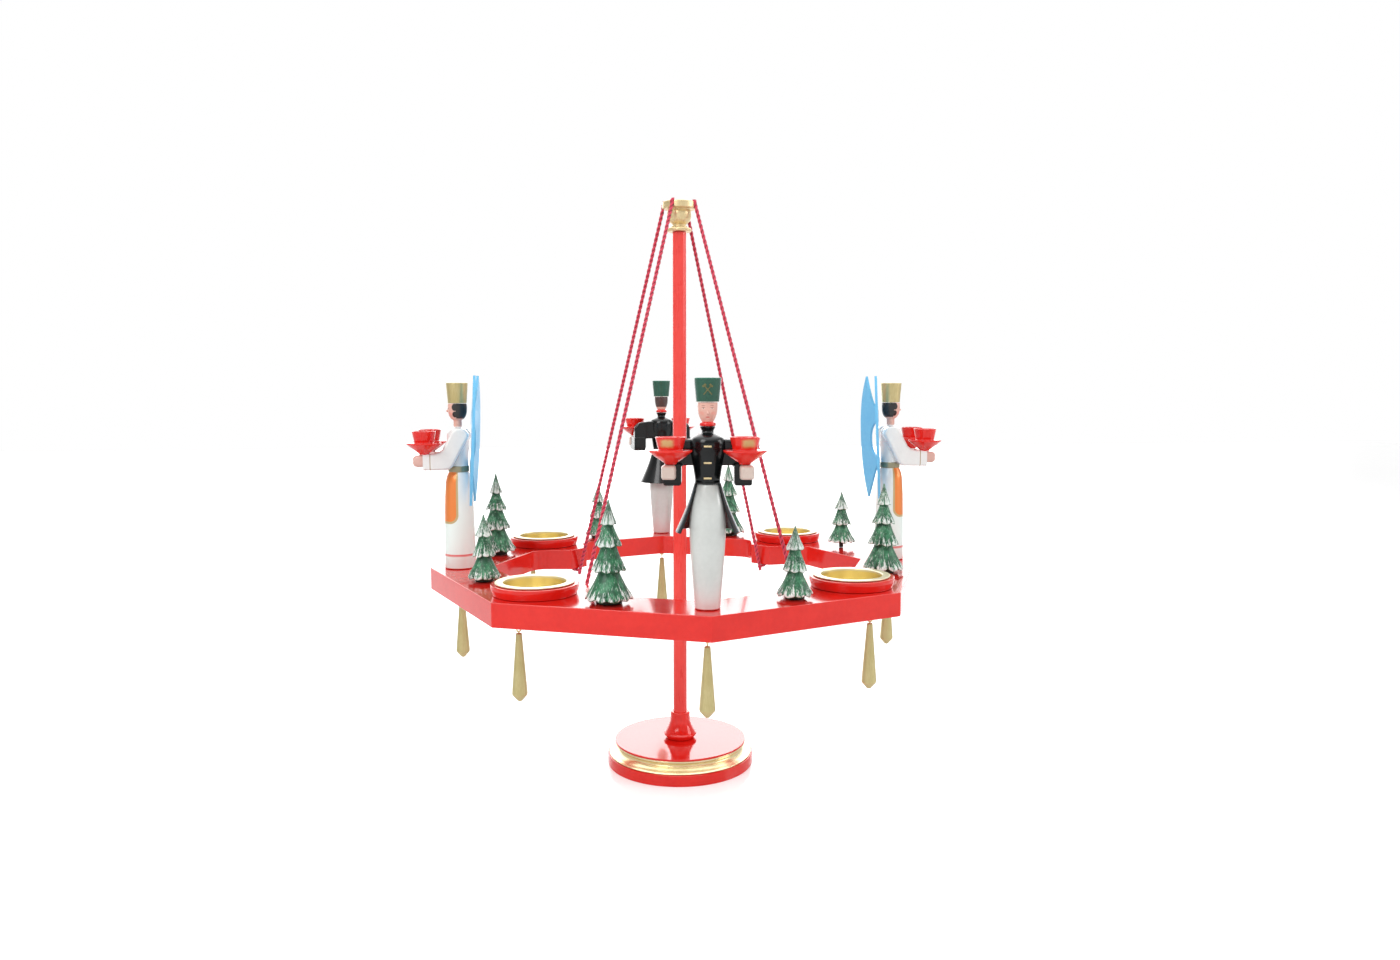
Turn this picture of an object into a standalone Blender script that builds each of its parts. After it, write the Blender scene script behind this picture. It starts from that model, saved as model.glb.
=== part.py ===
"""Advent candle holder.

A round base carries a pole with a gilt finial. Four cords run from the finial to an octagonal ring,
which holds four tealights, two miners, two angels, eight fir trees and eight hanging gilt drops.
Lengths are in metres, +Z is up, the front is -Y, and the origin is the middle of the base's underside.
"""

import math

import bmesh
import bpy
from mathutils import Matrix, Vector

# Clearances
GAP = 0.0003
RUNNING_CLEARANCE = 0.0001
EASE = 0.0005

# Base
BASE_RADIUS = 0.0545
FOOT_HEIGHT = 0.0085
BASE_HEIGHT = 0.0179
PLATE_RADIUS = 0.0491
PLATE_EDGE = 0.0014
MOULDING_HOLLOW = 0.0022
MOULDING_SET_IN = 0.0012

# Pole and the collar at its foot
POLE_RADIUS = 0.005
POLE_TOP = 0.3942
BASE_FLOOR = 0.0044
PIN_RADIUS = 0.0025
PIN_LENGTH = 0.0105
COLLAR_HEIGHT = 0.0201
COLLAR_TOP_RADIUS = 0.0072
COLLAR_BEAD_RADIUS = 0.0123
COLLAR_FOOT_RADIUS = 0.0103
COLLAR_BEAD_RISE = 0.0034
COLLAR_NECK_LENGTH = 0.007

# Finial
FINIAL_FLANGE_RADIUS = 0.0089
FINIAL_FLANGE_HEIGHT = 0.0026
FINIAL_NECK_RADIUS = 0.0047
FINIAL_BOWL_RADIUS = 0.0088
FINIAL_BOWL_HEIGHT = 0.0112
FINIAL_DISC_RADIUS = 0.0123
FINIAL_DISC_THICKNESS = 0.0050
FINIAL_RECESS_RADIUS = 0.0081
FINIAL_TURN = math.radians(14)

# Ring
RING_TOP = 0.1517
RING_THICKNESS = 0.0156
RING_RADIUS = 0.182
BAND_WIDTH = 0.040
CORNERS = 8
CORNER_ROUNDING = 0.0015
NOSE_REACH = 0.1055
NOSE_HALF_WIDTH = 0.0090
NOSE_HALF_ANGLE = math.radians(37)
NOSE_FILLET = 0.014

# Tealight holders, at every second corner
TEALIGHT_SET_IN = 0.036
TEALIGHT_CUP_RADIUS = 0.028
TEALIGHT_CUP_TAPER = 0.0014
TEALIGHT_CUP_RISE = 0.007
TEALIGHT_CUP_FLOOR = 0.002
SPIGOT_RADIUS = 0.0237
SPIGOT_LENGTH = 0.0085
INSERT_BORE_RADIUS = 0.020
INSERT_WALL = 0.0006
INSERT_DEPTH = 0.0125
INSERT_FLANGE_RADIUS = 0.0252
INSERT_FLANGE_THICKNESS = 0.0008

# Cords
CORD_RADIUS = 0.00125
KNOT_RADIUS = 0.0021
CORD_TOP_PLACE = 0.0128
CORD_ANCHOR_SET_BACK = 0.0078
CORD_ANCHOR_DEPTH = 0.0045
CORD_BEND = 0.0024

# Hanging drops
DROP_SET_IN = 0.022
EYE_RADIUS = 0.0017
EYE_WIRE = 0.0005
EYE_DROP = 0.0026
DROP_LENGTH = 0.0438
DROP_TOP_RADIUS = 0.0018
DROP_RADIUS = 0.0049
DROP_POINT_HEIGHT = 0.005
DROP_TIP_RADIUS = 0.0012

# Fir trees, in the middle of each side of the ring
TREE_SET_IN = 0.032
BIG_TREE_HEIGHT = 0.0633
BIG_TREE_TIERS = ((0.0022, 0.0150), (0.0205, 0.0107), (0.0355, 0.0083), (0.0485, 0.0050))
SMALL_TREE_HEIGHT = 0.0455
SMALL_TREE_TIERS = ((0.0022, 0.0115), (0.0178, 0.0078), (0.0312, 0.0058))
TREE_FOOT = 0.54
TREE_NECK = 0.58
TREE_TIP_RADIUS = 0.0004

# Candle cups that the figures hold
CUP_RIM_RADIUS = 0.0089
CUP_FOOT_RADIUS = 0.0080
CUP_HEIGHT = 0.0083
CUP_BORE_RADIUS = 0.0070
CUP_BORE_DEPTH = 0.0070
SAUCER_RADIUS = 0.0125
SAUCER_RIM = 0.0009
SAUCER_DROP = 0.0084
KNOB_RADIUS = 0.0035

# Figures
FIGURE_SET_IN = 0.0215
MINER_TURN = math.radians(7)
MINER_REACH = (0.0212, -0.0160)
MINER_HAND_TOP = 0.0853
ANGEL_REACH = (0.0152, -0.0218)
ANGEL_HAND_TOP = 0.0830
HAND_SIZE = (0.0086, 0.0130, 0.0088)

# Miner
TROUSERS_HEIGHT = 0.0742
TROUSERS_SOLE_RADIUS = 0.0076
TROUSERS_RADIUS = 0.0109
TROUSERS_TOP_RADIUS = 0.0052
WAIST_RADIUS = 0.0074
CHEST_RADIUS = 0.0101
SHOULDER_HEIGHT = 0.1014
JACKET_NECK_RADIUS = 0.0028
COLLAR_STAND_HEIGHT = 0.0042
COLLAR_STAND_RADIUS = 0.0045
SKIRT_RADIUS = 0.019
SKIRT_LENGTH = 0.0295
SKIRT_WALL = 0.0014
SKIRT_OPENING = math.radians(43)
MINER_HEAD_RADIUS = 0.0059
MINER_FACE_HEIGHT = 0.0136
SHAKO_HEIGHT = 0.0141
SHAKO_LOW_RADIUS = 0.0068
SHAKO_TOP_RADIUS = 0.0080
MINER_SLEEVE_RADIUS = 0.0042
MINER_CUFF_RADIUS = 0.0052

# Angel
ROBE_RADIUS = 0.011
ROBE_WAIST_RADIUS = 0.0069
ROBE_CHEST_RADIUS = 0.0077
ROBE_HEIGHT = 0.102
WAIST_HEIGHT = 0.072
BELT_WIDTH = 0.0036
ANGEL_NECK_RADIUS = 0.0029
ANGEL_NECK_LENGTH = 0.0045
ANGEL_HEAD_RADIUS = 0.0069
ANGEL_HEAD_HEIGHT = 0.0124
CROWN_HEIGHT = 0.0145
CROWN_TOP_RADIUS = 0.0077
CROWN_LOW_RADIUS = 0.0066
ANGEL_SLEEVE_RADIUS = 0.0064
ANGEL_CUFF_RADIUS = 0.0060
ANGEL_SLEEVE_FLATTENING = 0.66
WING_THICKNESS = 0.0018
WING_SWEEP = math.radians(17.5)
WING_WIDTH = 0.021
WING_BOTTOM = 0.0465
WING_TOP = 0.139
WING_LEAN = math.radians(3.3)
WING_SEAT = 0.075

# Facets
FINE = 32
MIDDLE = 20
COARSE = 16
SLENDER = 10
CORD_BEVEL_POINTS = 2
SLEEVE_BEVEL_POINTS = 2
SLEEVE_POINTS = 8

# Worked out from the above
RING_BOTTOM = RING_TOP - RING_THICKNESS
BAND_OUTER = RING_RADIUS * math.cos(math.pi / CORNERS)
BAND_INNER = BAND_OUTER - BAND_WIDTH
SIDE_ANGLE = 2 * math.pi / CORNERS
TEALIGHT_PLACE = RING_RADIUS - TEALIGHT_SET_IN
DROP_PLACE = RING_RADIUS - DROP_SET_IN
TREE_PLACE = RING_RADIUS - TREE_SET_IN
FIGURE_PLACE = RING_RADIUS - FIGURE_SET_IN
FINIAL_BOTTOM = POLE_TOP + GAP
FINIAL_DISC_LOW = FINIAL_BOTTOM + FINIAL_FLANGE_HEIGHT + FINIAL_BOWL_HEIGHT + FINIAL_NECK_RADIUS / 2
FINIAL_DISC_TOP = FINIAL_DISC_LOW + FINIAL_DISC_THICKNESS
FINIAL_RECESS_FLOOR = FINIAL_DISC_TOP - 2 * KNOT_RADIUS - 2 * GAP
CORD_FIT = CORD_RADIUS + 1.5 * GAP
CORD_CREST = FINIAL_DISC_TOP - CORD_RADIUS / 2
CORD_LOW_PLACE = NOSE_REACH - CORD_FIT
CORD_ANCHOR_PLACE = NOSE_REACH + CORD_ANCHOR_SET_BACK
EYE_HEIGHT = RING_BOTTOM - EYE_DROP
DROP_EYE_HEIGHT = EYE_HEIGHT - 2 * EYE_RADIUS + 2 * EYE_WIRE + GAP
DROP_PIVOT_HEIGHT = EYE_HEIGHT - EYE_RADIUS
DROP_TOP_HEIGHT = DROP_EYE_HEIGHT - EYE_RADIUS - 2 * EYE_WIRE
WAIST_FLOOR = TROUSERS_HEIGHT + GAP
COLLAR_STAND_TOP = SHOULDER_HEIGHT + COLLAR_STAND_HEIGHT + 0.0024
FINISHES = {
    "red_lacquer": ((0.62, 0.035, 0.025), 0.15, 0.0),
    "gilt": ((0.70, 0.55, 0.26), 0.35, 0.6),
    "brass": ((0.80, 0.62, 0.28), 0.22, 1.0),
    "black_lacquer": ((0.012, 0.013, 0.013), 0.2, 0.0),
    "white_paint": ((0.78, 0.78, 0.76), 0.3, 0.0),
    "green_paint": ((0.02, 0.09, 0.055), 0.3, 0.0),
    "fir_green": ((0.03, 0.16, 0.08), 0.7, 0.0),
    "wing_blue": ((0.12, 0.42, 0.80), 0.3, 0.0),
    "red_cord": ((0.45, 0.02, 0.04), 0.9, 0.0),
}


def clear_scene():
    for obj in list(bpy.data.objects):
        bpy.data.objects.remove(obj, do_unlink=True)


def new_collection(name, helper=False):
    made = bpy.data.collections.new(name)
    bpy.context.scene.collection.children.link(made)
    made.hide_render = helper
    return made


def finish_of(obj, finish):
    colour, roughness, metallic = FINISHES[finish]
    material = bpy.data.materials.new(obj.name)
    material.use_nodes = True
    shader = material.node_tree.nodes["Principled BSDF"]
    shader.inputs["Base Color"].default_value = (*colour, 1)
    shader.inputs["Roughness"].default_value = roughness
    shader.inputs["Metallic"].default_value = metallic
    if obj.material_slots:
        obj.material_slots[0].link = "OBJECT"
        obj.material_slots[0].material = material
    else:
        obj.data.materials.append(None)
        obj.material_slots[0].link = "OBJECT"
        obj.material_slots[0].material = material


def helper(obj):
    """Marks a cutter or a guide, which is no part of the object."""
    CUTTERS.objects.link(obj)
    obj.hide_render = True
    obj.display_type = "WIRE"
    return obj


def baked(obj):
    """The mesh of an object with its modifiers applied and its doubles joined."""
    bpy.context.view_layer.update()
    graph = bpy.context.evaluated_depsgraph_get()
    mesh = bpy.data.meshes.new_from_object(obj.evaluated_get(graph))
    shape = bmesh.new()
    shape.from_mesh(mesh)
    bmesh.ops.remove_doubles(shape, verts=shape.verts, dist=1e-6)
    shape.to_mesh(mesh)
    shape.free()
    mesh.shade_smooth()
    mesh.set_sharp_from_angle(angle=math.radians(35))
    return mesh


def piece(name, mesh, finish, holder=None, place=Matrix.Identity(4)):
    """A part of the object, placed on the empty that holds it."""
    obj = bpy.data.objects.new(name, mesh)
    PARTS.objects.link(obj)
    obj.parent = holder
    obj.matrix_local = place
    finish_of(obj, finish)
    return obj


def holder(name, place, turn=0.0):
    empty = bpy.data.objects.new(name, None)
    PARTS.objects.link(empty)
    empty.location = place
    empty.rotation_euler = (0, 0, turn)
    empty.empty_display_size = 0.01
    return empty


def around(radius, angle, height):
    """A place at an angle from the front, counted towards the right."""
    return Vector((radius * math.sin(angle), -radius * math.cos(angle), height))


def turned(name, profile, steps, closed=False):
    """A turned shape. The profile (radius, height) runs down its outer side."""
    mesh = bpy.data.meshes.new(name)
    edges = [(i, i + 1) for i in range(len(profile) - 1)]
    if closed:
        edges.append((len(profile) - 1, 0))
    mesh.from_pydata([(radius, 0, height) for radius, height in profile], edges, [])
    obj = helper(bpy.data.objects.new(name, mesh))
    screw = obj.modifiers.new("Turning", "SCREW")
    screw.axis = "Z"
    screw.angle = 2 * math.pi
    screw.steps = screw.render_steps = steps
    screw.use_merge_vertices = True
    screw.merge_threshold = 1e-6
    return obj


def turned_mesh(name, profile, steps):
    obj = turned(name, profile, steps)
    mesh = baked(obj)
    bpy.data.objects.remove(obj)
    return mesh


def cylinder(name, radius, low, high, place, steps):
    shape = bmesh.new()
    bmesh.ops.create_cone(
        shape, cap_ends=True, segments=steps, radius1=radius, radius2=radius, depth=high - low
    )
    mesh = bpy.data.meshes.new(name)
    shape.to_mesh(mesh)
    shape.free()
    obj = helper(bpy.data.objects.new(name, mesh))
    obj.location = (place[0], place[1], (low + high) / 2)
    return obj


def ball(name, size, place):
    shape = bmesh.new()
    bmesh.ops.create_uvsphere(shape, u_segments=SLENDER, v_segments=6, radius=0.5)
    bmesh.ops.scale(shape, vec=size, verts=shape.verts)
    mesh = bpy.data.meshes.new(name)
    shape.to_mesh(mesh)
    shape.free()
    obj = helper(bpy.data.objects.new(name, mesh))
    obj.location = place
    return obj


def block(name, low, high):
    shape = bmesh.new()
    bmesh.ops.create_cube(shape, size=1)
    bmesh.ops.scale(shape, vec=Vector(high) - Vector(low), verts=shape.verts)
    mesh = bpy.data.meshes.new(name)
    shape.to_mesh(mesh)
    shape.free()
    obj = helper(bpy.data.objects.new(name, mesh))
    obj.location = (Vector(high) + Vector(low)) / 2
    return obj


def wire_ring(name, place, turn):
    """An upright ring of wire; its own axis is turned from +X about +Z."""
    bpy.ops.mesh.primitive_torus_add(
        major_radius=EYE_RADIUS,
        minor_radius=EYE_WIRE,
        major_segments=SLENDER,
        minor_segments=5,
        location=place,
        rotation=(0, math.pi / 2, turn),
    )
    obj = bpy.context.object
    obj.name = name
    for collection in list(obj.users_collection):
        collection.objects.unlink(obj)
    return helper(obj)


def boolean(obj, operation, other):
    modifier = obj.modifiers.new(f"{operation.title()} {other.name}", "BOOLEAN")
    modifier.operation = operation
    modifier.object = other
    modifier.solver = "EXACT"


def smooth_route(points, count):
    """Points along a smooth curve that passes through the given points, evenly spread by length."""
    ends = [points[0] * 2 - points[1], *points, points[-1] * 2 - points[-2]]
    fine = []
    steps = 12
    for a, b, c, d in zip(ends, ends[1:], ends[2:], ends[3:]):
        for i in range(steps):
            t = i / steps
            fine.append(
                (b * 2 + (c - a) * t + (a * 2 - b * 5 + c * 4 - d) * t**2 + (b * 3 - a - c * 3 + d) * t**3) / 2
            )
    fine.append(points[-1])
    lengths = [0.0]
    for start, end in zip(fine, fine[1:]):
        lengths.append(lengths[-1] + (end - start).length)
    route = []
    at = 0
    for i in range(count):
        wanted = lengths[-1] * i / (count - 1)
        while at < len(fine) - 2 and lengths[at + 1] < wanted:
            at += 1
        share = (wanted - lengths[at]) / max(lengths[at + 1] - lengths[at], 1e-9)
        route.append(fine[at].lerp(fine[at + 1], min(share, 1.0)))
    return route


def tube(name, points, radii, bevel_resolution):
    curve = bpy.data.curves.new(name, "CURVE")
    curve.dimensions = "3D"
    curve.bevel_depth = 1
    curve.bevel_resolution = bevel_resolution
    curve.use_fill_caps = True
    spline = curve.splines.new("POLY")
    spline.points.add(len(points) - 1)
    for point, place, radius in zip(spline.points, points, radii):
        point.co = (*place, 1)
        point.radius = radius
    rail = helper(bpy.data.objects.new(name, curve))
    mesh = baked(rail)
    bpy.data.objects.remove(rail)
    return helper(bpy.data.objects.new(name, mesh))


def outline_mesh(name, outlines, thickness, kind="POLY", resolution=4):
    """A flat board from closed outlines in XY; an outline inside another is a hole."""
    curve = bpy.data.curves.new(name, "CURVE")
    curve.dimensions = "2D"
    curve.fill_mode = "BOTH"
    curve.extrude = thickness / 2
    curve.resolution_u = resolution
    for outline in outlines:
        spline = curve.splines.new(kind)
        spline.use_cyclic_u = True
        if kind == "POLY":
            spline.points.add(len(outline) - 1)
            for point, (x, y) in zip(spline.points, outline):
                point.co = (x, y, 0, 1)
            continue
        spline.bezier_points.add(len(outline) - 1)
        for point, (x, y, sharp) in zip(spline.bezier_points, outline):
            point.co = (x, y, 0)
            point.handle_left_type = point.handle_right_type = "VECTOR" if sharp else "AUTO"
    board = helper(bpy.data.objects.new(name, curve))
    mesh = baked(board)
    bpy.data.objects.remove(board)
    return mesh


def rounded(corners, segments=4):
    """An outline with each corner (x, y, fillet radius) rounded by an arc."""
    outline = []
    for i, (x, y, radius) in enumerate(corners):
        here = Vector((x, y))
        before = (Vector(corners[i - 1][:2]) - here).normalized()
        after = (Vector(corners[(i + 1) % len(corners)][:2]) - here).normalized()
        half = before.angle(after) / 2
        if radius <= 0 or half > math.pi / 2 - 0.01:
            outline.append(tuple(here))
            continue
        middle = here + (before + after).normalized() * (radius / math.sin(half))
        start = here + before * (radius / math.tan(half)) - middle
        sweep = start.angle_signed(here + after * (radius / math.tan(half)) - middle)
        for k in range(segments + 1):
            arm = start.copy()
            arm.rotate(Matrix.Rotation(-sweep * k / segments, 2))
            outline.append(tuple(middle + arm))
    return outline


def corner_angle(index):
    """Corner 0 is at the front, and they are counted towards the right."""
    return index * SIDE_ANGLE


def base_profile():
    bore = POLE_RADIUS + RUNNING_CLEARANCE
    floor = BASE_FLOOR - GAP
    hollow = (FOOT_HEIGHT + BASE_HEIGHT - PLATE_EDGE) / 2
    return [
        (0, floor),
        (bore, floor),
        (bore, BASE_HEIGHT),
        (PLATE_RADIUS - EASE, BASE_HEIGHT),
        (PLATE_RADIUS, BASE_HEIGHT - EASE),
        (PLATE_RADIUS, BASE_HEIGHT - PLATE_EDGE),
        (PLATE_RADIUS - MOULDING_HOLLOW * 0.8, hollow + EASE * 2),
        (PLATE_RADIUS - MOULDING_HOLLOW, hollow - EASE),
        (PLATE_RADIUS - MOULDING_HOLLOW * 0.5, hollow - EASE * 3),
        (BASE_RADIUS - MOULDING_SET_IN, FOOT_HEIGHT + EASE),
        (BASE_RADIUS - MOULDING_SET_IN, FOOT_HEIGHT),
        (BASE_RADIUS - EASE, FOOT_HEIGHT),
        (BASE_RADIUS, FOOT_HEIGHT - EASE),
        (BASE_RADIUS, EASE),
        (BASE_RADIUS - EASE, 0),
        (0, 0),
    ]


def pole_profile():
    seat = BASE_HEIGHT + GAP
    top = BASE_HEIGHT + COLLAR_HEIGHT
    bead = BASE_HEIGHT + COLLAR_BEAD_RISE
    neck = top - COLLAR_NECK_LENGTH
    mid = (neck + bead) / 2
    return [
        (0, POLE_TOP + PIN_LENGTH),
        (PIN_RADIUS - EASE, POLE_TOP + PIN_LENGTH),
        (PIN_RADIUS, POLE_TOP + PIN_LENGTH - EASE),
        (PIN_RADIUS, POLE_TOP),
        (POLE_RADIUS, POLE_TOP),
        (POLE_RADIUS, top),
        (COLLAR_TOP_RADIUS - EASE, top),
        (COLLAR_TOP_RADIUS, top - EASE),
        (COLLAR_TOP_RADIUS, neck),
        ((COLLAR_TOP_RADIUS * 0.58 + COLLAR_BEAD_RADIUS * 0.42), mid),
        (COLLAR_BEAD_RADIUS - EASE, bead + EASE),
        (COLLAR_BEAD_RADIUS, bead),
        (COLLAR_BEAD_RADIUS - EASE, bead - EASE),
        (COLLAR_FOOT_RADIUS, seat),
        (POLE_RADIUS, seat),
        (POLE_RADIUS, BASE_FLOOR),
        (0, BASE_FLOOR),
    ]


def finial_profile():
    bore = PIN_RADIUS + RUNNING_CLEARANCE
    low = FINIAL_BOTTOM
    flange = low + FINIAL_FLANGE_HEIGHT
    neck = flange + FINIAL_NECK_RADIUS * 0.35
    bowl = FINIAL_DISC_LOW
    return [
        (0, FINIAL_RECESS_FLOOR),
        (FINIAL_RECESS_RADIUS, FINIAL_RECESS_FLOOR),
        (FINIAL_RECESS_RADIUS, FINIAL_DISC_TOP),
        (FINIAL_DISC_RADIUS - EASE, FINIAL_DISC_TOP),
        (FINIAL_DISC_RADIUS, FINIAL_DISC_TOP - EASE),
        (FINIAL_DISC_RADIUS, bowl + EASE),
        (FINIAL_DISC_RADIUS - EASE, bowl),
        (FINIAL_BOWL_RADIUS, bowl),
        (FINIAL_BOWL_RADIUS, bowl - FINIAL_BOWL_HEIGHT * 0.35),
        (FINIAL_BOWL_RADIUS * 0.88, bowl - FINIAL_BOWL_HEIGHT * 0.62),
        (FINIAL_NECK_RADIUS, neck + FINIAL_BOWL_HEIGHT * 0.12),
        (FINIAL_NECK_RADIUS, neck),
        (FINIAL_FLANGE_RADIUS - EASE * 2, flange),
        (FINIAL_FLANGE_RADIUS, flange - EASE * 2),
        (FINIAL_FLANGE_RADIUS, low + EASE),
        (FINIAL_FLANGE_RADIUS - EASE, low),
        (bore, low),
        (bore, low + PIN_LENGTH + GAP),
        (0, low + PIN_LENGTH + GAP),
    ]


def make_base():
    piece("base", turned_mesh("base", base_profile(), FINE), "red_lacquer")


def make_pole():
    piece("pole", turned_mesh("pole", pole_profile(), MIDDLE), "red_lacquer")


def make_finial():
    body = turned("finial_body", finial_profile(), MIDDLE)
    slots = []
    for name, index in TEALIGHT_CORNERS:
        angle = corner_angle(index) + FINIAL_TURN
        groove = block(
            f"groove_{name}",
            (-CORD_FIT, -2 * FINIAL_DISC_RADIUS, FINIAL_DISC_LOW - EASE),
            (CORD_FIT, CORD_FIT - CORD_TOP_PLACE, FINIAL_DISC_TOP + EASE),
        )
        channel = block(
            f"channel_{name}",
            (GAP / 2 - CORD_FIT, -2 * FINIAL_DISC_RADIUS, CORD_CREST - CORD_FIT),
            (CORD_FIT - GAP / 2, -FINIAL_RECESS_RADIUS / 2, FINIAL_DISC_TOP + 2 * EASE),
        )
        for slot in (groove, channel):
            slot.location.rotate(Matrix.Rotation(angle, 3, "Z"))
            slot.rotation_euler = (0, 0, angle)
            boolean(body, "DIFFERENCE", slot)
            slots.append(slot)
    piece("finial", baked(body), "gilt")
    for helper_object in (body, *slots):
        bpy.data.objects.remove(helper_object)


def ring_outlines():
    outer = [
        (*around(RING_RADIUS, corner_angle(k), 0)[:2], CORNER_ROUNDING) for k in range(CORNERS)
    ]
    inner_corner = BAND_INNER / math.cos(SIDE_ANGLE / 2)
    bearing = {index for _, index in TEALIGHT_CORNERS}
    inner = []
    for k in range(CORNERS):
        angle = corner_angle(k)
        if k not in bearing:
            inner.append((*around(inner_corner, angle, 0)[:2], 0))
            continue
        outward = around(1, angle, 0).xy
        across = Vector((-outward.y, outward.x))
        for side in (-1, 1):
            tip = outward * NOSE_REACH + across * (side * NOSE_HALF_WIDTH)
            way = outward * math.cos(NOSE_HALF_ANGLE) + across * (side * math.sin(NOSE_HALF_ANGLE))
            normal = around(1, angle + side * SIDE_ANGLE / 2, 0).xy
            root = tip + way * ((BAND_INNER - tip.dot(normal)) / way.dot(normal))
            pair = [(*root, NOSE_FILLET), (*tip, EASE)]
            inner.extend(pair if side < 0 else reversed(pair))
    return rounded(outer), rounded(inner)


def make_ring():
    mesh = outline_mesh("octagon_ring", ring_outlines(), RING_THICKNESS)
    mesh.transform(Matrix.Translation((0, 0, RING_TOP - RING_THICKNESS / 2)))
    body = helper(bpy.data.objects.new("octagon_ring_body", mesh))
    helpers = [body]
    for name, index in TEALIGHT_CORNERS:
        angle = corner_angle(index)
        recess = cylinder(
            f"recess_{name}",
            SPIGOT_RADIUS + GAP,
            RING_TOP - SPIGOT_LENGTH - GAP,
            RING_TOP + EASE,
            around(TEALIGHT_PLACE, angle, 0),
            MIDDLE,
        )
        anchor = cylinder(
            f"anchor_{name}",
            CORD_FIT,
            RING_BOTTOM - EASE,
            RING_BOTTOM + CORD_ANCHOR_DEPTH,
            around(CORD_ANCHOR_PLACE, angle, 0),
            COARSE,
        )
        boolean(body, "DIFFERENCE", recess)
        boolean(body, "DIFFERENCE", anchor)
        helpers += [recess, anchor]
    for k in range(CORNERS):
        angle = corner_angle(k)
        eye = wire_ring(f"eye_{k}", around(DROP_PLACE, angle, EYE_HEIGHT), angle + math.pi / 2)
        shank_low = EYE_HEIGHT + EYE_RADIUS
        shank = cylinder(
            f"shank_{k}", EYE_WIRE, shank_low, RING_BOTTOM + EASE, around(DROP_PLACE, angle, 0), 8
        )
        boolean(body, "UNION", shank)
        boolean(body, "UNION", eye)
        helpers += [shank, eye]
    piece("octagon_ring", baked(body), "red_lacquer")
    for helper_object in helpers:
        bpy.data.objects.remove(helper_object)


def tealight_cup_profile():
    rise = TEALIGHT_CUP_RISE
    bore = INSERT_BORE_RADIUS + INSERT_WALL + GAP
    floor = rise - INSERT_DEPTH - INSERT_WALL - GAP
    return [
        (0, floor),
        (bore, floor),
        (bore, rise),
        (TEALIGHT_CUP_RADIUS - EASE, rise),
        (TEALIGHT_CUP_RADIUS, rise - EASE),
        (TEALIGHT_CUP_RADIUS - TEALIGHT_CUP_TAPER, GAP),
        (SPIGOT_RADIUS, GAP),
        (SPIGOT_RADIUS, min(floor - TEALIGHT_CUP_FLOOR, GAP - EASE)),
        (0, min(floor - TEALIGHT_CUP_FLOOR, GAP - EASE)),
    ]


def insert_profile():
    seat = TEALIGHT_CUP_RISE + GAP
    floor = TEALIGHT_CUP_RISE - INSERT_DEPTH
    return [
        (0, floor),
        (INSERT_BORE_RADIUS, floor),
        (INSERT_BORE_RADIUS, seat + INSERT_FLANGE_THICKNESS),
        (INSERT_FLANGE_RADIUS, seat + INSERT_FLANGE_THICKNESS),
        (INSERT_FLANGE_RADIUS, seat),
        (INSERT_BORE_RADIUS + INSERT_WALL, seat),
        (INSERT_BORE_RADIUS + INSERT_WALL, floor - INSERT_WALL),
        (0, floor - INSERT_WALL),
    ]


def make_tealights():
    cup = turned_mesh("tealight_cup", tealight_cup_profile(), MIDDLE)
    insert = turned_mesh("tealight_insert", insert_profile(), MIDDLE)
    for name, index in TEALIGHT_CORNERS:
        place = around(TEALIGHT_PLACE, corner_angle(index), RING_TOP)
        stand = holder(f"tealight_place_{name}", place)
        piece(f"tealight_cup_{name}", cup, "red_lacquer", stand)
        piece(f"tealight_insert_{name}", insert, "brass", stand)


def cord_route(angle):
    """From its knot over the finial's rim, straight to the nose's lower edge and up into its hole."""
    rim = CORD_TOP_PLACE + CORD_RADIUS / 2
    run = (CORD_LOW_PLACE - rim) / (FINIAL_DISC_LOW - RING_BOTTOM)
    upper = [
        (FINIAL_RECESS_RADIUS - KNOT_RADIUS - GAP, FINIAL_RECESS_FLOOR + KNOT_RADIUS + GAP),
        (FINIAL_RECESS_RADIUS, CORD_CREST - GAP / 2),
        (CORD_TOP_PLACE - CORD_RADIUS, CORD_CREST),
        (CORD_TOP_PLACE - CORD_RADIUS * 0.3, CORD_CREST - CORD_RADIUS * 0.3),
        (CORD_TOP_PLACE, CORD_CREST - CORD_RADIUS),
        (rim, FINIAL_DISC_LOW),
    ]
    stops = []
    for tilt in (-math.atan(run), math.radians(25), math.radians(60), math.radians(90)):
        stops.append((NOSE_REACH - CORD_FIT * math.cos(tilt), RING_BOTTOM - CORD_FIT * math.sin(tilt)))
    for tilt in (math.radians(90), math.radians(45), 0):
        place = CORD_ANCHOR_PLACE - CORD_BEND + CORD_BEND * math.cos(tilt)
        stops.append((place, RING_BOTTOM - CORD_FIT + CORD_BEND - CORD_BEND * math.sin(tilt)))
    stops.append((CORD_ANCHOR_PLACE, RING_BOTTOM + CORD_ANCHOR_DEPTH - GAP))
    route = [around(place, angle + FINIAL_TURN, height) for place, height in upper]
    lower = [around(place, angle, height) for place, height in stops]
    return [*route, (route[-1] + lower[0]) / 2, *lower]


def make_cords():
    for name, index in TEALIGHT_CORNERS:
        angle = corner_angle(index)
        stops = cord_route(angle)
        body = tube(f"cord_{name}_body", stops, [CORD_RADIUS] * len(stops), CORD_BEVEL_POINTS)
        knot = ball(f"knot_{name}", [2 * KNOT_RADIUS] * 3, stops[0])
        boolean(body, "UNION", knot)
        piece(f"cord_{name}", baked(body), "red_cord")
        bpy.data.objects.remove(body)
        bpy.data.objects.remove(knot)


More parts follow.
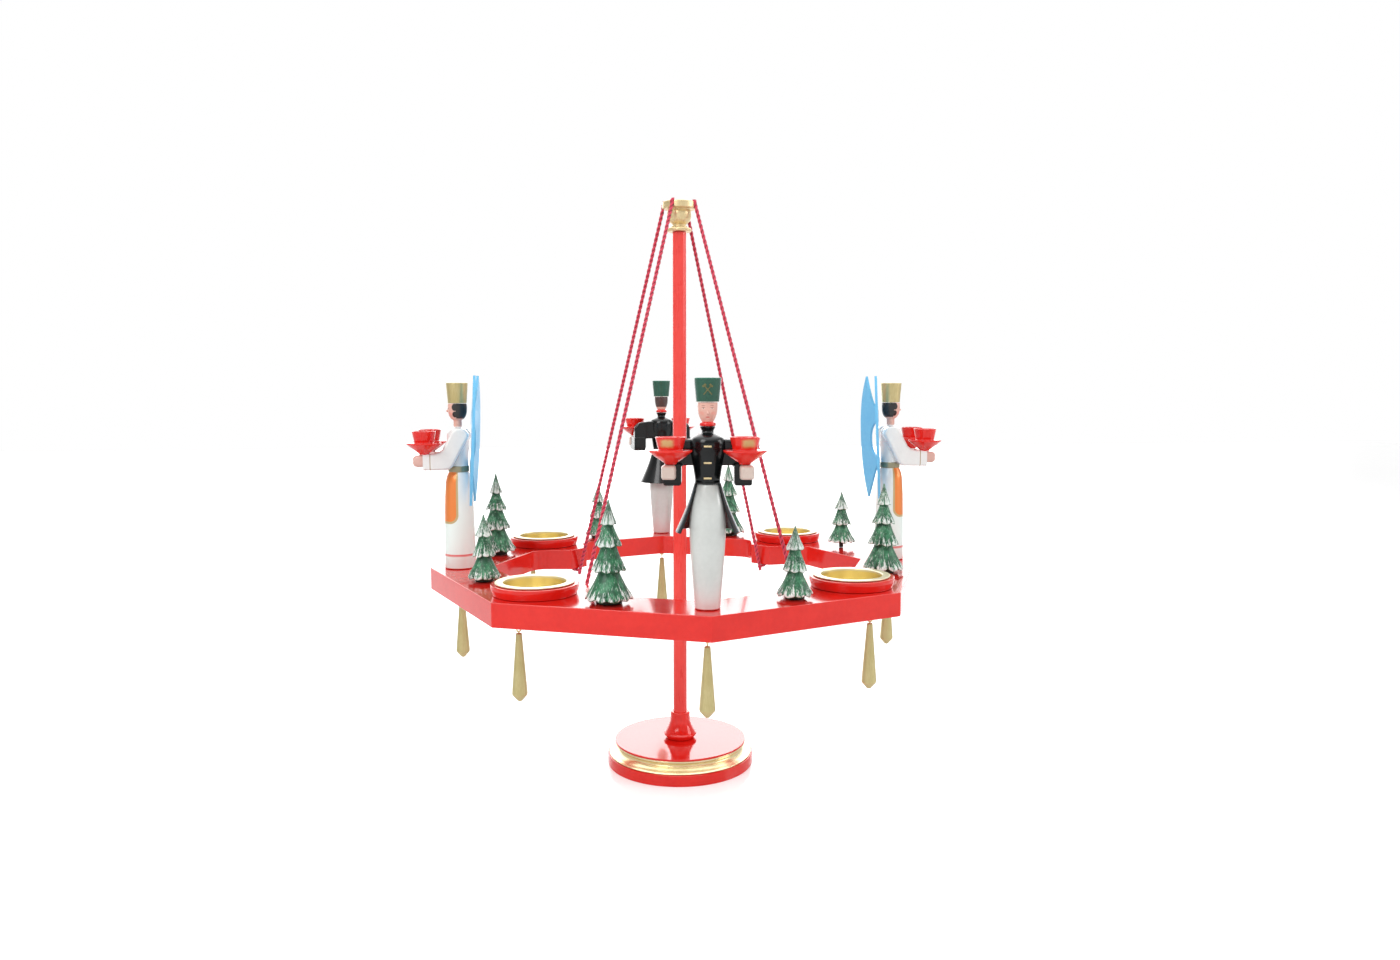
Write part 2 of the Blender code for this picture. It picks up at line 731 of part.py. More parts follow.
def drop_profile():
    """Heights are counted from the swing axis."""
    top = DROP_TOP_HEIGHT - DROP_PIVOT_HEIGHT
    shank = DROP_EYE_HEIGHT - EYE_RADIUS - DROP_PIVOT_HEIGHT
    low = top - DROP_LENGTH
    widest = low + DROP_POINT_HEIGHT
    return [
        (0, shank),
        (EYE_WIRE, shank),
        (EYE_WIRE, top),
        (DROP_TOP_RADIUS, top - EASE),
        (DROP_RADIUS, widest),
        (DROP_TIP_RADIUS, low + EASE),
        (0, low),
    ]


def make_drops():
    body = turned("drop_body", drop_profile(), SLENDER)
    ring = wire_ring("drop_ring", (0, 0, DROP_EYE_HEIGHT - DROP_PIVOT_HEIGHT), 0)
    boolean(body, "UNION", ring)
    mesh = baked(body)
    bpy.data.objects.remove(body)
    bpy.data.objects.remove(ring)
    for k in range(CORNERS):
        angle = corner_angle(k)
        pivot = holder(f"drop_pivot_{k + 1}", around(DROP_PLACE, angle, DROP_PIVOT_HEIGHT), angle)
        piece(f"hanging_drop_{k + 1}", mesh, "gilt", pivot)


def tree_profile(height, tiers):
    """Tiers (height, radius) from the lowest up; each starts from the neck under the one above."""
    foot = tiers[0][1] * TREE_FOOT
    profile = [(0, height), (TREE_TIP_RADIUS, height - EASE)]
    for level, radius in reversed(tiers):
        profile.append((radius * 0.93, level + 3 * EASE))
        profile.append((radius, level))
        if level > tiers[0][0]:
            profile.append((radius * TREE_NECK, level - EASE))
    profile += [(foot, tiers[0][0] - EASE), (foot, GAP), (0, GAP)]
    return profile


def make_trees():
    big = turned_mesh("big_tree", tree_profile(BIG_TREE_HEIGHT, BIG_TREE_TIERS), SLENDER + 2)
    small = turned_mesh("small_tree", tree_profile(SMALL_TREE_HEIGHT, SMALL_TREE_TIERS), SLENDER + 2)
    for k in range(CORNERS):
        place = around(TREE_PLACE, corner_angle(k) + SIDE_ANGLE / 2, RING_TOP)
        mesh = small if k % 2 == 0 else big
        stand = holder(f"tree_place_{k + 1}", place)
        piece(f"fir_tree_{k + 1}", mesh, "fir_green", stand)


def candle_cup_mesh():
    """Counted from the underside of its knob, which rests on a hand."""
    dish = SAUCER_DROP
    top = dish + CUP_HEIGHT
    profile = [
        (0, top - CUP_BORE_DEPTH),
        (CUP_BORE_RADIUS, top - CUP_BORE_DEPTH),
        (CUP_BORE_RADIUS, top),
        (CUP_RIM_RADIUS, top),
        (CUP_FOOT_RADIUS, dish),
        (SAUCER_RADIUS, dish),
        (SAUCER_RADIUS, dish - SAUCER_RIM),
        (SAUCER_RADIUS * 0.62 + KNOB_RADIUS * 0.38, dish - SAUCER_DROP * 0.45),
        (KNOB_RADIUS, 0),
        (0, 0),
    ]
    return turned_mesh("candle_cup", profile, COARSE)


def trousers_profile():
    high = TROUSERS_HEIGHT
    widest = 0.66
    shape = [(1.0, 0.0), (0.955, 0.30), (0.875, 0.68), (0.79, 0.94), (widest, 1.0), (0.39, 0.60), (0.13, 0.12)]
    profile = [(0, high)]
    for share, bulge in shape:
        end = TROUSERS_TOP_RADIUS if share > widest else TROUSERS_SOLE_RADIUS
        profile.append((end + (TROUSERS_RADIUS - end) * bulge, high * share))
    return profile + [(TROUSERS_SOLE_RADIUS, GAP), (0, GAP)]


def jacket_shell(grow=0.0):
    """The coat's outer profile from the top of its collar to its hem; grow widens it."""
    waist = WAIST_FLOOR + EASE * 2
    hem = waist - SKIRT_LENGTH
    flare = SKIRT_RADIUS - WAIST_RADIUS
    neck = SHOULDER_HEIGHT + 0.0024
    chest = [
        (COLLAR_STAND_RADIUS, COLLAR_STAND_TOP),
        (JACKET_NECK_RADIUS, neck + EASE),
        (JACKET_NECK_RADIUS + EASE * 2, neck - EASE * 2),
        (CHEST_RADIUS * 0.84, SHOULDER_HEIGHT),
        (CHEST_RADIUS, SHOULDER_HEIGHT - 0.003),
        (CHEST_RADIUS * 0.98, SHOULDER_HEIGHT - 0.0095),
        (CHEST_RADIUS * 0.3 + WAIST_RADIUS * 0.7, waist + 0.0085),
        (WAIST_RADIUS, waist),
    ]
    skirt = [(0.165, 0.14), (0.38, 0.31), (0.59, 0.53), (0.81, 0.79), (1.0, 1.0)]
    outer = chest + [
        (WAIST_RADIUS + flare * wide, waist - SKIRT_LENGTH * share) for share, wide in skirt
    ]
    return [(radius + grow, height) for radius, height in outer], hem


def make_jacket(steps=MIDDLE):
    """The coat: a turned body with a flared skirt, open in front."""
    outer, hem = jacket_shell()
    skirt = [point for point in outer if point[1] < WAIST_FLOOR]
    inner = [(radius - SKIRT_WALL, height) for radius, height in reversed(skirt)]
    profile = [(0, COLLAR_STAND_TOP), *outer, *inner]
    profile += [(min(inner[-1][0], WAIST_RADIUS - SKIRT_WALL / 2), WAIST_FLOOR), (0, WAIST_FLOOR)]
    body = turned("jacket_body", profile, steps)
    reach = 2 * SKIRT_RADIUS
    side = reach * math.tan(SKIRT_OPENING)
    cut = outline_mesh("jacket_cut", [[(0, EASE), (-side, -reach), (side, -reach)]], WAIST_FLOOR - hem)
    cut.transform(Matrix.Translation((0, 0, (WAIST_FLOOR + hem) / 2 - GAP - EASE)))
    cutter = helper(bpy.data.objects.new("jacket_cut", cut))
    boolean(body, "DIFFERENCE", cutter)
    mesh = baked(body)
    bpy.data.objects.remove(body)
    bpy.data.objects.remove(cutter)
    return mesh


def miner_head_profile():
    """Neckcloth, face and shako, turned in one."""
    low = COLLAR_STAND_TOP + GAP
    face = low + MINER_FACE_HEIGHT
    chin = low + 0.0026
    shape = [(0.82, 1.0), (0.50, 0.92), (0.22, 0.72), (0.08, 0.58)]
    profile = [
        (0, face + SHAKO_HEIGHT + EASE),
        (SHAKO_TOP_RADIUS - EASE, face + SHAKO_HEIGHT),
        (SHAKO_TOP_RADIUS, face + SHAKO_HEIGHT - EASE),
        (SHAKO_LOW_RADIUS * 0.45 + SHAKO_TOP_RADIUS * 0.55, face + SHAKO_HEIGHT * 0.5),
        (SHAKO_LOW_RADIUS, face),
        (MINER_HEAD_RADIUS, face),
    ]
    profile += [(MINER_HEAD_RADIUS * wide, chin + (face - chin) * share) for share, wide in shape]
    profile += [
        (COLLAR_STAND_RADIUS, chin - EASE),
        (COLLAR_STAND_RADIUS + EASE / 2, low + EASE * 2),
        (COLLAR_STAND_RADIUS - EASE, low),
        (0, low),
    ]
    return profile


def arm_mesh(name, stops, radii, hand, body_clearance, flattening=1.0):
    """A sleeve with its hand, cut to lie against the body. Flattening narrows the sleeve sideways."""
    route = smooth_route([Vector((x / flattening, y, z)) for x, y, z in stops], SLEEVE_POINTS)
    spread = []
    for i in range(SLEEVE_POINTS):
        share = i / (SLEEVE_POINTS - 1) * (len(radii) - 1)
        start = min(int(share), len(radii) - 2)
        spread.append(radii[start] + (radii[start + 1] - radii[start]) * (share - start))
    sleeve = tube(name, route, spread, SLEEVE_BEVEL_POINTS)
    sleeve.data.transform(Matrix.Scale(flattening, 4, (1, 0, 0)))
    palm = ball(f"{name}_hand", HAND_SIZE, hand)
    clearance = turned(f"{name}_clearance", body_clearance, MIDDLE)
    boolean(sleeve, "UNION", palm)
    boolean(sleeve, "DIFFERENCE", clearance)
    mesh = baked(sleeve)
    for helper_object in (sleeve, palm, clearance):
        bpy.data.objects.remove(helper_object)
    return mesh


def miner_arm(side):
    across, ahead = MINER_REACH
    hand_middle = MINER_HAND_TOP - HAND_SIZE[2] / 2
    stops = [
        (side * (CHEST_RADIUS - 0.0035), 0, SHOULDER_HEIGHT - 0.0042),
        (side * (CHEST_RADIUS + 0.0035), -0.0005, SHOULDER_HEIGHT - 0.0088),
        (side * (across - 0.0022), -0.0020, hand_middle + 0.0030),
        (side * (across - 0.0004), -0.0070, hand_middle - 0.0016),
        (side * across, ahead + 0.0030, hand_middle - 0.0016),
    ]
    radii = [MINER_SLEEVE_RADIUS, MINER_SLEEVE_RADIUS, MINER_SLEEVE_RADIUS, MINER_CUFF_RADIUS, MINER_CUFF_RADIUS]
    outer, _ = jacket_shell(GAP)
    clearance = [(0, COLLAR_STAND_TOP), *outer, (0, outer[-1][1])]
    hand = (side * across, ahead, hand_middle)
    return arm_mesh(f"miner_arm_{side}", stops, radii, hand, clearance)


def robe_profile(grow=0.0):
    waist = WAIST_HEIGHT
    high = ROBE_HEIGHT
    chest = high - waist
    upper = [(0.955, 0.74), (0.84, 1.0), (0.60, 1.04), (0.27, 0.93)]
    skirt = [(0.955, 0.26), (0.885, 0.58), (0.70, 0.80), (0.40, 0.92), (0.02, 1.0)]
    profile = [(0, high), (ANGEL_NECK_RADIUS + grow, high)]
    profile += [(ROBE_CHEST_RADIUS * wide + grow, waist + chest * share) for share, wide in upper]
    profile += [
        (ROBE_WAIST_RADIUS + EASE + grow, waist + BELT_WIDTH / 2),
        (ROBE_WAIST_RADIUS + EASE + grow, waist - BELT_WIDTH / 2),
    ]
    flare = ROBE_RADIUS - ROBE_WAIST_RADIUS
    profile += [(ROBE_WAIST_RADIUS + flare * wide + grow, waist * share) for share, wide in skirt]
    return profile + [(ROBE_RADIUS + grow, GAP - grow), (0, GAP - grow)]


def angel_head_profile():
    low = ROBE_HEIGHT + GAP
    chin = low + ANGEL_NECK_LENGTH
    brow = chin + ANGEL_HEAD_HEIGHT
    shape = [(0.78, 1.0), (0.42, 0.93), (0.16, 0.74)]
    profile = [
        (0, brow + CROWN_HEIGHT + EASE),
        (CROWN_TOP_RADIUS - EASE, brow + CROWN_HEIGHT),
        (CROWN_TOP_RADIUS, brow + CROWN_HEIGHT - EASE),
        (CROWN_LOW_RADIUS, brow),
    ]
    profile += [(ANGEL_HEAD_RADIUS * wide, chin + ANGEL_HEAD_HEIGHT * share) for share, wide in shape]
    return profile + [(ANGEL_NECK_RADIUS, chin), (ANGEL_NECK_RADIUS, low), (0, low)]


def angel_arm(side):
    across, ahead = ANGEL_REACH
    hand_middle = ANGEL_HAND_TOP - HAND_SIZE[2] / 2
    stops = [
        (side * (ROBE_CHEST_RADIUS - 0.0040), 0.0016, ROBE_HEIGHT - 0.0078),
        (side * (ROBE_CHEST_RADIUS + 0.0018), 0.0002, ROBE_HEIGHT - 0.0140),
        (side * (across - 0.0034), -0.0052, ANGEL_HAND_TOP - ANGEL_SLEEVE_RADIUS + 0.0004),
        (side * (across - 0.0002), ahead + 0.0005, ANGEL_HAND_TOP - ANGEL_CUFF_RADIUS - GAP),
    ]
    radii = [ANGEL_SLEEVE_RADIUS, ANGEL_SLEEVE_RADIUS, ANGEL_SLEEVE_RADIUS, ANGEL_CUFF_RADIUS]
    hand = (side * across, ahead - HAND_SIZE[1] * 0.22, hand_middle)
    clearance = robe_profile(GAP)
    return arm_mesh(f"angel_arm_{side}", stops, radii, hand, clearance, ANGEL_SLEEVE_FLATTENING)


def wing_mesh():
    """A pair of leaf-shaped boards, swept and leant back and joined behind the back."""
    tall = WING_TOP - WING_BOTTOM
    leaf = [
        (0.57, 0.0, True),
        (0.79, 0.15, False),
        (0.95, 0.35, False),
        (1.0, 0.55, False),
        (0.96, 0.72, False),
        (0.82, 0.87, False),
        (0.60, 1.0, True),
        (0.42, 0.88, False),
        (0.22, 0.785, False),
        (-0.03, 0.72, True),
        (-0.03, 0.625, True),
        (0.22, 0.60, False),
        (0.42, 0.49, False),
        (0.28, 0.375, False),
        (-0.03, 0.335, True),
        (-0.03, 0.295, True),
        (0.17, 0.22, False),
        (0.38, 0.10, False),
    ]
    outline = [(WING_WIDTH * x, WING_BOTTOM + tall * y, sharp) for x, y, sharp in leaf]
    board = outline_mesh("wing", [outline], WING_THICKNESS, "BEZIER", 2)
    board.transform(Matrix.Rotation(math.pi / 2, 4, "X"))
    other = board.copy()
    other.transform(Matrix.Scale(-1, 4, (1, 0, 0)))
    other.flip_normals()
    board.transform(Matrix.Rotation(WING_SWEEP, 4, "Z"))
    other.transform(Matrix.Rotation(-WING_SWEEP, 4, "Z"))
    pair = [helper(bpy.data.objects.new("wing", mesh)) for mesh in (board, other)]
    boolean(pair[0], "UNION", pair[1])
    mesh = baked(pair[0])
    for helper_object in pair:
        bpy.data.objects.remove(helper_object)
    mesh.transform(Matrix.Translation((0, 0, -WING_SEAT)))
    mesh.transform(Matrix.Rotation(-WING_LEAN, 4, "X"))
    seat = ROBE_CHEST_RADIUS + GAP + WING_THICKNESS / 2
    mesh.transform(Matrix.Translation((0, seat, WING_SEAT)))
    return mesh


def make_miners(cup):
    meshes = {
        "trousers": (turned_mesh("trousers", trousers_profile(), COARSE), "white_paint"),
        "jacket": (make_jacket(), "black_lacquer"),
        "head": (turned_mesh("miner_head", miner_head_profile(), COARSE), "green_paint"),
        "left_arm": (miner_arm(1), "black_lacquer"),
        "right_arm": (miner_arm(-1), "black_lacquer"),
    }
    across, ahead = MINER_REACH
    cups = {"left": (across, ahead), "right": (-across, ahead)}
    for name, angle, turn in (("front_miner", 0, -MINER_TURN), ("back_miner", math.pi, MINER_TURN)):
        stand = holder(f"{name}_place", around(FIGURE_PLACE, angle, RING_TOP), angle + turn)
        for part, (mesh, finish) in meshes.items():
            piece(f"{name}_{part}", mesh, finish, stand)
        for side, (x, y) in cups.items():
            place = Matrix.Translation((x, y, MINER_HAND_TOP + GAP))
            piece(f"{name}_{side}_candle_cup", cup, "red_lacquer", stand, place)


def make_angels(cup):
    meshes = {
        "robe": (turned_mesh("robe", robe_profile(), MIDDLE), "white_paint"),
        "head": (turned_mesh("angel_head", angel_head_profile(), COARSE), "gilt"),
        "left_arm": (angel_arm(1), "white_paint"),
        "right_arm": (angel_arm(-1), "white_paint"),
        "wings": (wing_mesh(), "wing_blue"),
    }
    across, ahead = ANGEL_REACH
    cups = {"left": (across, ahead), "right": (-across, ahead)}
    for name, angle in (("left_angel", -math.pi / 2), ("right_angel", math.pi / 2)):
        stand = holder(f"{name}_place", around(FIGURE_PLACE, angle, RING_TOP), angle)
        for part, (mesh, finish) in meshes.items():
            piece(f"{name}_{part}", mesh, finish, stand)
        for side, (x, y) in cups.items():
            place = Matrix.Translation((x, y, ANGEL_HAND_TOP + GAP))
            piece(f"{name}_{side}_candle_cup", cup, "red_lacquer", stand, place)


def main():
    make_base()
    make_pole()
    make_finial()
    make_ring()
    make_tealights()
    make_cords()
    make_drops()
    make_trees()
    cup = candle_cup_mesh()
    make_miners(cup)
    make_angels(cup)


TEALIGHT_CORNERS = (("front_right", 1), ("back_right", 3), ("back_left", 5), ("front_left", 7))
clear_scene()
PARTS = new_collection("Advent candle holder")
CUTTERS = new_collection("Cutters", helper=True)
main()
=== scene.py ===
"""Advent candle holder, dressed for its photograph.

A round base carries a pole with a gilt finial. Four twisted cords hold an octagonal ring with four
tealights, two miners, two angels, eight fir trees and eight hanging gilt drops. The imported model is
the fixed frame; each class below builds one sub-assembly over it. Lengths are in metres.
"""

from __future__ import annotations

import logging
import random
from dataclasses import dataclass, field, replace
from enum import Enum
from math import atan, cos, exp, hypot, pi, radians, sin, sqrt, tan
from typing import Callable, Sequence

import bmesh
import bpy
from mathutils import Matrix, Vector, noise

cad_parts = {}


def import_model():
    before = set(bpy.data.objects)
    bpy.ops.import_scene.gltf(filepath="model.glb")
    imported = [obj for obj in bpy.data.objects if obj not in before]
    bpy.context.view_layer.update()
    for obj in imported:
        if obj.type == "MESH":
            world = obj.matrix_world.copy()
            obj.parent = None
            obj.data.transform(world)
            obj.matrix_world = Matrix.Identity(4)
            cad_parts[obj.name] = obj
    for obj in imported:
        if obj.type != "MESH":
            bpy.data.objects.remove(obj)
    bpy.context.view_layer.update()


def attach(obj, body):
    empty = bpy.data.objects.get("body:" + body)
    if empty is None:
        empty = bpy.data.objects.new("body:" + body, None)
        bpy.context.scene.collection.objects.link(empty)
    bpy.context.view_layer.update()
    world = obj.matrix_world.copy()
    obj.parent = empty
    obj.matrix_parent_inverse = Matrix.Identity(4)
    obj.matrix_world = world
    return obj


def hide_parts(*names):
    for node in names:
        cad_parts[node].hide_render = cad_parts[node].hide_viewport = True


LOG = logging.getLogger("candle_holder")
GAP = 0.0003
CORNERS = 8
SIDE_ANGLE = 2 * pi / CORNERS
RING_TOP = 0.1517
RING_THICKNESS = 0.0156
RING_BOTTOM = RING_TOP - RING_THICKNESS
FIGURE_PLACE = 0.1605
TEALIGHT_PLACE = 0.146
DROP_PLACE = 0.160
EYE_RADIUS = 0.0017
EYE_HEIGHT = RING_BOTTOM - 0.0026
WIRE_RADIUS = 0.0005
PAINT_EDGE = 0.00012
MERGE = 1e-6
NEAR = 1e-5

Colour = tuple[float, float, float]
Point = tuple[float, float]
Corner = tuple[float, float, float]
Section = list[Vector]
Piece = bpy.types.Object
Socket = bpy.types.NodeSocket


class Slot(Enum):
    """The record's material slots."""

    RED = "red_lacquer"
    GILT = "gilt"
    BRASS = "brass"
    CORD = "red_cord"
    BLACK = "black_lacquer"
    WHITE = "white_paint"
    GREEN = "green_paint"
    FIR = "fir_green"
    BLUE = "wing_blue"


class Diagonal(Enum):
    """The ring's corners that carry a tealight, with their number counted from the front to the right."""

    FRONT_RIGHT = 1
    BACK_RIGHT = 3
    BACK_LEFT = 5
    FRONT_LEFT = 7

    @property
    def label(self) -> str:
        """The corner's name as the nodes write it."""
        return self.name.lower()

    @property
    def angle(self) -> float:
        """The corner's angle from the front, counted to the right."""
        return self.value * SIDE_ANGLE


def around(radius: float, angle: float, height: float = 0.0) -> Vector:
    """A place at an angle from the front, counted to the right.

    Args:
        radius: Distance from the upright axis.
        angle: Angle from the front.
        height: Height above the origin.

    Returns:
        The place.
    """
    return Vector((radius * sin(angle), -radius * cos(angle), height))


def ramp(value: float, low: float, high: float) -> float:
    """A smooth step.

    Args:
        value: What is looked at.
        low: Where the step is still 0.
        high: Where it has reached 1.

    Returns:
        A number from 0 to 1.
    """
    share = min(max((value - low) / (high - low), 0.0), 1.0)
    return share * share * (3 - 2 * share)


# Modelling


class Bench:
    """The modelling steps that the pieces share."""

    @staticmethod
    def clear() -> None:
        """Leaves nothing selected."""
        if bpy.context.object and bpy.context.object.mode != "OBJECT":
            bpy.ops.object.mode_set(mode="OBJECT")
        bpy.ops.object.select_all(action="DESELECT")

    @staticmethod
    def take(obj: Piece) -> None:
        """Selects one object alone and makes it active.

        Args:
            obj: The object.
        """
        Bench.clear()
        obj.select_set(True)
        bpy.context.view_layer.objects.active = obj

    @staticmethod
    def added(name: str, primitive: Callable[..., set[str]], **options: object) -> Piece:
        """Adds a primitive and names it.

        Args:
            name: The piece's name.
            primitive: The operator that adds it.
            options: The operator's settings.

        Returns:
            The piece, alone selected.
        """
        Bench.clear()
        primitive(**options)
        obj = bpy.context.object
        obj.name = name
        return obj

    @staticmethod
    def polygon(name: str, spots: Sequence[Sequence[float]], fill_type: str = "NGON") -> Piece:
        """A circle whose points are laid on the given places, left in edit mode with all of it selected.

        Args:
            name: The piece's name.
            spots: The places, in order.
            fill_type: "NGON" for a face, or "NOTHING" for its outline alone.

        Returns:
            The piece.
        """
        obj = Bench.added(name, bpy.ops.mesh.primitive_circle_add, vertices=len(spots), radius=1, fill_type=fill_type)
        for vertex, spot in zip(obj.data.vertices, spots):
            vertex.co = spot
        bpy.ops.object.mode_set(mode="EDIT")
        bpy.ops.mesh.select_all(action="SELECT")
        return obj

    @staticmethod
    def applied(obj: Piece, name: str, kind: str, **settings: object) -> None:
        """Adds a modifier to a piece and applies it.

        Args:
            obj: The piece.
            name: The modifier's name.
            kind: Its type.
            settings: Its settings.
        """
        Bench.take(obj)
        modifier = obj.modifiers.new(name, kind)
        for setting, value in settings.items():
            setattr(modifier, setting, value)
        bpy.ops.object.modifier_apply(modifier=modifier.name)

    @staticmethod
    def tidy(obj: Piece, fill: bool = True) -> None:
        """Merges doubles, closes open ends and turns the faces outwards.

        Args:
            obj: The piece.
            fill: Whether open ends are closed.
        """
        Bench.take(obj)
        bpy.ops.object.mode_set(mode="EDIT")
        bpy.ops.mesh.select_all(action="SELECT")
        bpy.ops.mesh.remove_doubles(threshold=MERGE)
        if fill:
            bpy.ops.mesh.fill_holes(sides=0)
        bpy.ops.mesh.normals_make_consistent(inside=False)
        bpy.ops.object.mode_set(mode="OBJECT")

    @staticmethod
    def settle(obj: Piece, place: Matrix | None = None, angle: float = 32, flat: bool = True) -> Piece:
        """Puts a piece's place in its mesh and shades it smooth between its sharp edges.

        Args:
            obj: The piece.
            place: Where it goes, or None where it already is there.
            angle: The angle in degrees past which an edge is sharp.
            flat: Whether large flat faces keep their own normals beside rounded edges.

        Returns:
            The piece.
        """
        Bench.take(obj)
        bpy.ops.object.transform_apply(location=True, rotation=True, scale=True)
        if place is not None:
            obj.data.transform(place)
        bpy.ops.object.shade_smooth_by_angle(angle=radians(angle))
        if flat:
            Bench.applied(obj, "Flat faces", "WEIGHTED_NORMAL", keep_sharp=True)
        return obj

    @staticmethod
    def eased(corners: Sequence[Point | Corner], steps: int = 3) -> list[Point]:
        """A profile whose corners are rounded.

        Args:
            corners: (radius, height) or (radius, height, rounding) along the profile.
            steps: Faces in each rounding.

        Returns:
            The profile's points.
        """
        out: list[Point] = []
        for i, corner in enumerate(corners):
            here = Vector(corner[:2])
            size = corner[2] if len(corner) > 2 else 0.0
            if size <= 0 or i in (0, len(corners) - 1):
                out.append((here.x, here.y))
                continue
            back = Vector(corners[i - 1][:2]) - here
            ahead = Vector(corners[i + 1][:2]) - here
            reach = min(size, back.length * 0.49, ahead.length * 0.49)
            start = here + back.normalized() * reach
            end = here + ahead.normalized() * reach
            for k in range(steps + 1):
                t = k / steps
                spot = start * (1 - t) ** 2 + here * (2 * t * (1 - t)) + end * t**2
                out.append((spot.x, spot.y))
        return out

    @staticmethod
    def turned(name: str, corners: Sequence[Point | Corner], steps: int = 72, easing: int = 3,
               sweep: float = 2 * pi, start: float = 0.0) -> Piece:
        """A turned piece: a circle's points are laid on the profile, opened and spun about the upright axis.

        Args:
            name: The piece's name.
            corners: (radius, height) or (radius, height, rounding) from the top down the outer side. Both
                ends on the axis make it whole.
            steps: Faces round the axis.
            easing: Faces in each rounding.
            sweep: How far it is spun.
            start: The angle from the front at which the spin starts.

        Returns:
            The piece.
        """
        profile = Bench.eased(corners, easing)
        obj = Bench.polygon(name, [around(radius, start, height) for radius, height in profile], "NOTHING")
        if profile[0][0] == profile[-1][0] == 0:
            shape = bmesh.from_edit_mesh(obj.data)
            shape.verts.ensure_lookup_table()
            seam = shape.edges.get((shape.verts[0], shape.verts[-1]))
            bmesh.ops.delete(shape, geom=[seam], context="EDGES")
            bmesh.update_edit_mesh(obj.data)
            bpy.ops.mesh.select_all(action="SELECT")
        bpy.ops.mesh.spin(steps=steps, angle=-sweep, center=(0, 0, 0), axis=(0, 0, 1))
        bpy.ops.object.mode_set(mode="OBJECT")
        Bench.tidy(obj)
        return obj

    @staticmethod
    def lofted(name: str, rings: Sequence[Section], tint: Sequence[Sequence[float]] | None = None) -> Piece:
        """A skin over closed sections: a grid's rows are laid on the sections and its seam is merged.

        Args:
            name: The piece's name.
            rings: The sections, each with as many points.
            tint: A number for each point, kept in the attribute "tint".

        Returns:
            The piece.
        """
        across, along = len(rings[0]), len(rings) - 1
        obj = Bench.added(name, bpy.ops.mesh.primitive_grid_add, x_subdivisions=across, y_subdivisions=along, size=2)
        mesh = obj.data
        values = [0.0] * len(mesh.vertices)
        for vertex in mesh.vertices:
            column = round((vertex.co.x + 1) / 2 * across) % across
            row = round((vertex.co.y + 1) / 2 * along)
            vertex.co = rings[row][column]
            if tint is not None:
                values[vertex.index] = tint[row][column]
        if tint is not None:
            mesh.attributes.new("tint", "FLOAT", "POINT").data.foreach_set("value", values)
        Bench.tidy(obj)
        return obj

    @staticmethod
    def swept(name: str, path: Sequence[Vector], sizes: Sequence[Point], columns: int = 16) -> Piece:
        """A small limb along a path, with oval sections and a rounded far end.

        Args:
            name: The piece's name.
            path: The points that it follows.
            sizes: (half width, half height) at each point.
            columns: Faces round it.

        Returns:
            The piece.
        """
        turns = [2 * pi * k / columns for k in range(columns)]

        def section(spot: Vector, along: Vector, side: Vector, wide: float, high: float) -> Section:
            """One section square to the path."""
            up = side.cross(along).normalized()
            return [spot + side * (wide * cos(turn)) + up * (high * sin(turn)) for turn in turns]

        ways = [(b - a).normalized() for a, b in zip(path, path[1:])]
        ways = [ways[0], *[(a + b).normalized() for a, b in zip(ways, ways[1:])], ways[-1]]
        sides = [Vector((1, 0, 0))]
        for way in reversed(ways):
            sides.append((sides[-1] - way * sides[-1].dot(way)).normalized())
        sides = sides[:0:-1]
        (wide, high), end, way, side = sizes[0], path[0], ways[0], sides[0]
        rings = [section(end - way * (wide * 0.25 * (1 - share)), way, side, wide * share, high * share)
                 for share in (0.0, 0.5, 0.85)]
        for spot, way, side, (wide, high) in zip(path, ways, sides, sizes):
            rings.append(section(spot, way, side, wide, high))
        for share, ahead in ((0.88, 0.25), (0.6, 0.42), (0.3, 0.5), (0.0, 0.52)):
            rings.append(section(path[-1] + way * (wide * ahead), way, side, wide * share, high * share))
        return Bench.lofted(name, rings)

    @staticmethod
    def curved(points: Sequence[Vector], count: int) -> list[Vector]:
        """Points along a smooth curve through the given points, evenly spread.

        Args:
            points: The points to pass through.
            count: How many points come back.

        Returns:
            The points.
        """
        ends = [points[0] * 2 - points[1], *points, points[-1] * 2 - points[-2]]
        fine: list[Vector] = []
        for a, b, c, d in zip(ends, ends[1:], ends[2:], ends[3:]):
            for i in range(16):
                t = i / 16
                fine.append((b * 2 + (c - a) * t + (a * 2 - b * 5 + c * 4 - d) * t**2
                             + (b * 3 - a - c * 3 + d) * t**3) / 2)
        fine.append(points[-1].copy())
        lengths = [0.0]
        for start, end in zip(fine, fine[1:]):
            lengths.append(lengths[-1] + (end - start).length)
        out, at = [], 0
        for i in range(count):
            wanted = lengths[-1] * i / (count - 1)
            while at < len(fine) - 2 and lengths[at + 1] < wanted:
                at += 1
            share = (wanted - lengths[at]) / max(lengths[at + 1] - lengths[at], 1e-9)
            out.append(fine[at].lerp(fine[at + 1], min(share, 1.0)))
        return out

    @staticmethod
    def block(name: str, size: Sequence[float], centre: Sequence[float], rounding: float, segments: int = 3) -> Piece:
        """A block with rounded edges.

        Args:
            name: The piece's name.
            size: Its whole width, depth and height.
            centre: Its middle.
            rounding: Radius of its edges.
            segments: Faces across a rounded edge.

        Returns:
            The piece.
        """
        obj = Bench.added(name, bpy.ops.mesh.primitive_cube_add, size=1, location=centre)
        obj.scale = size
        bpy.ops.object.transform_apply(location=True, rotation=True, scale=True)
        Bench.bevel(obj, rounding, segments)
        return obj

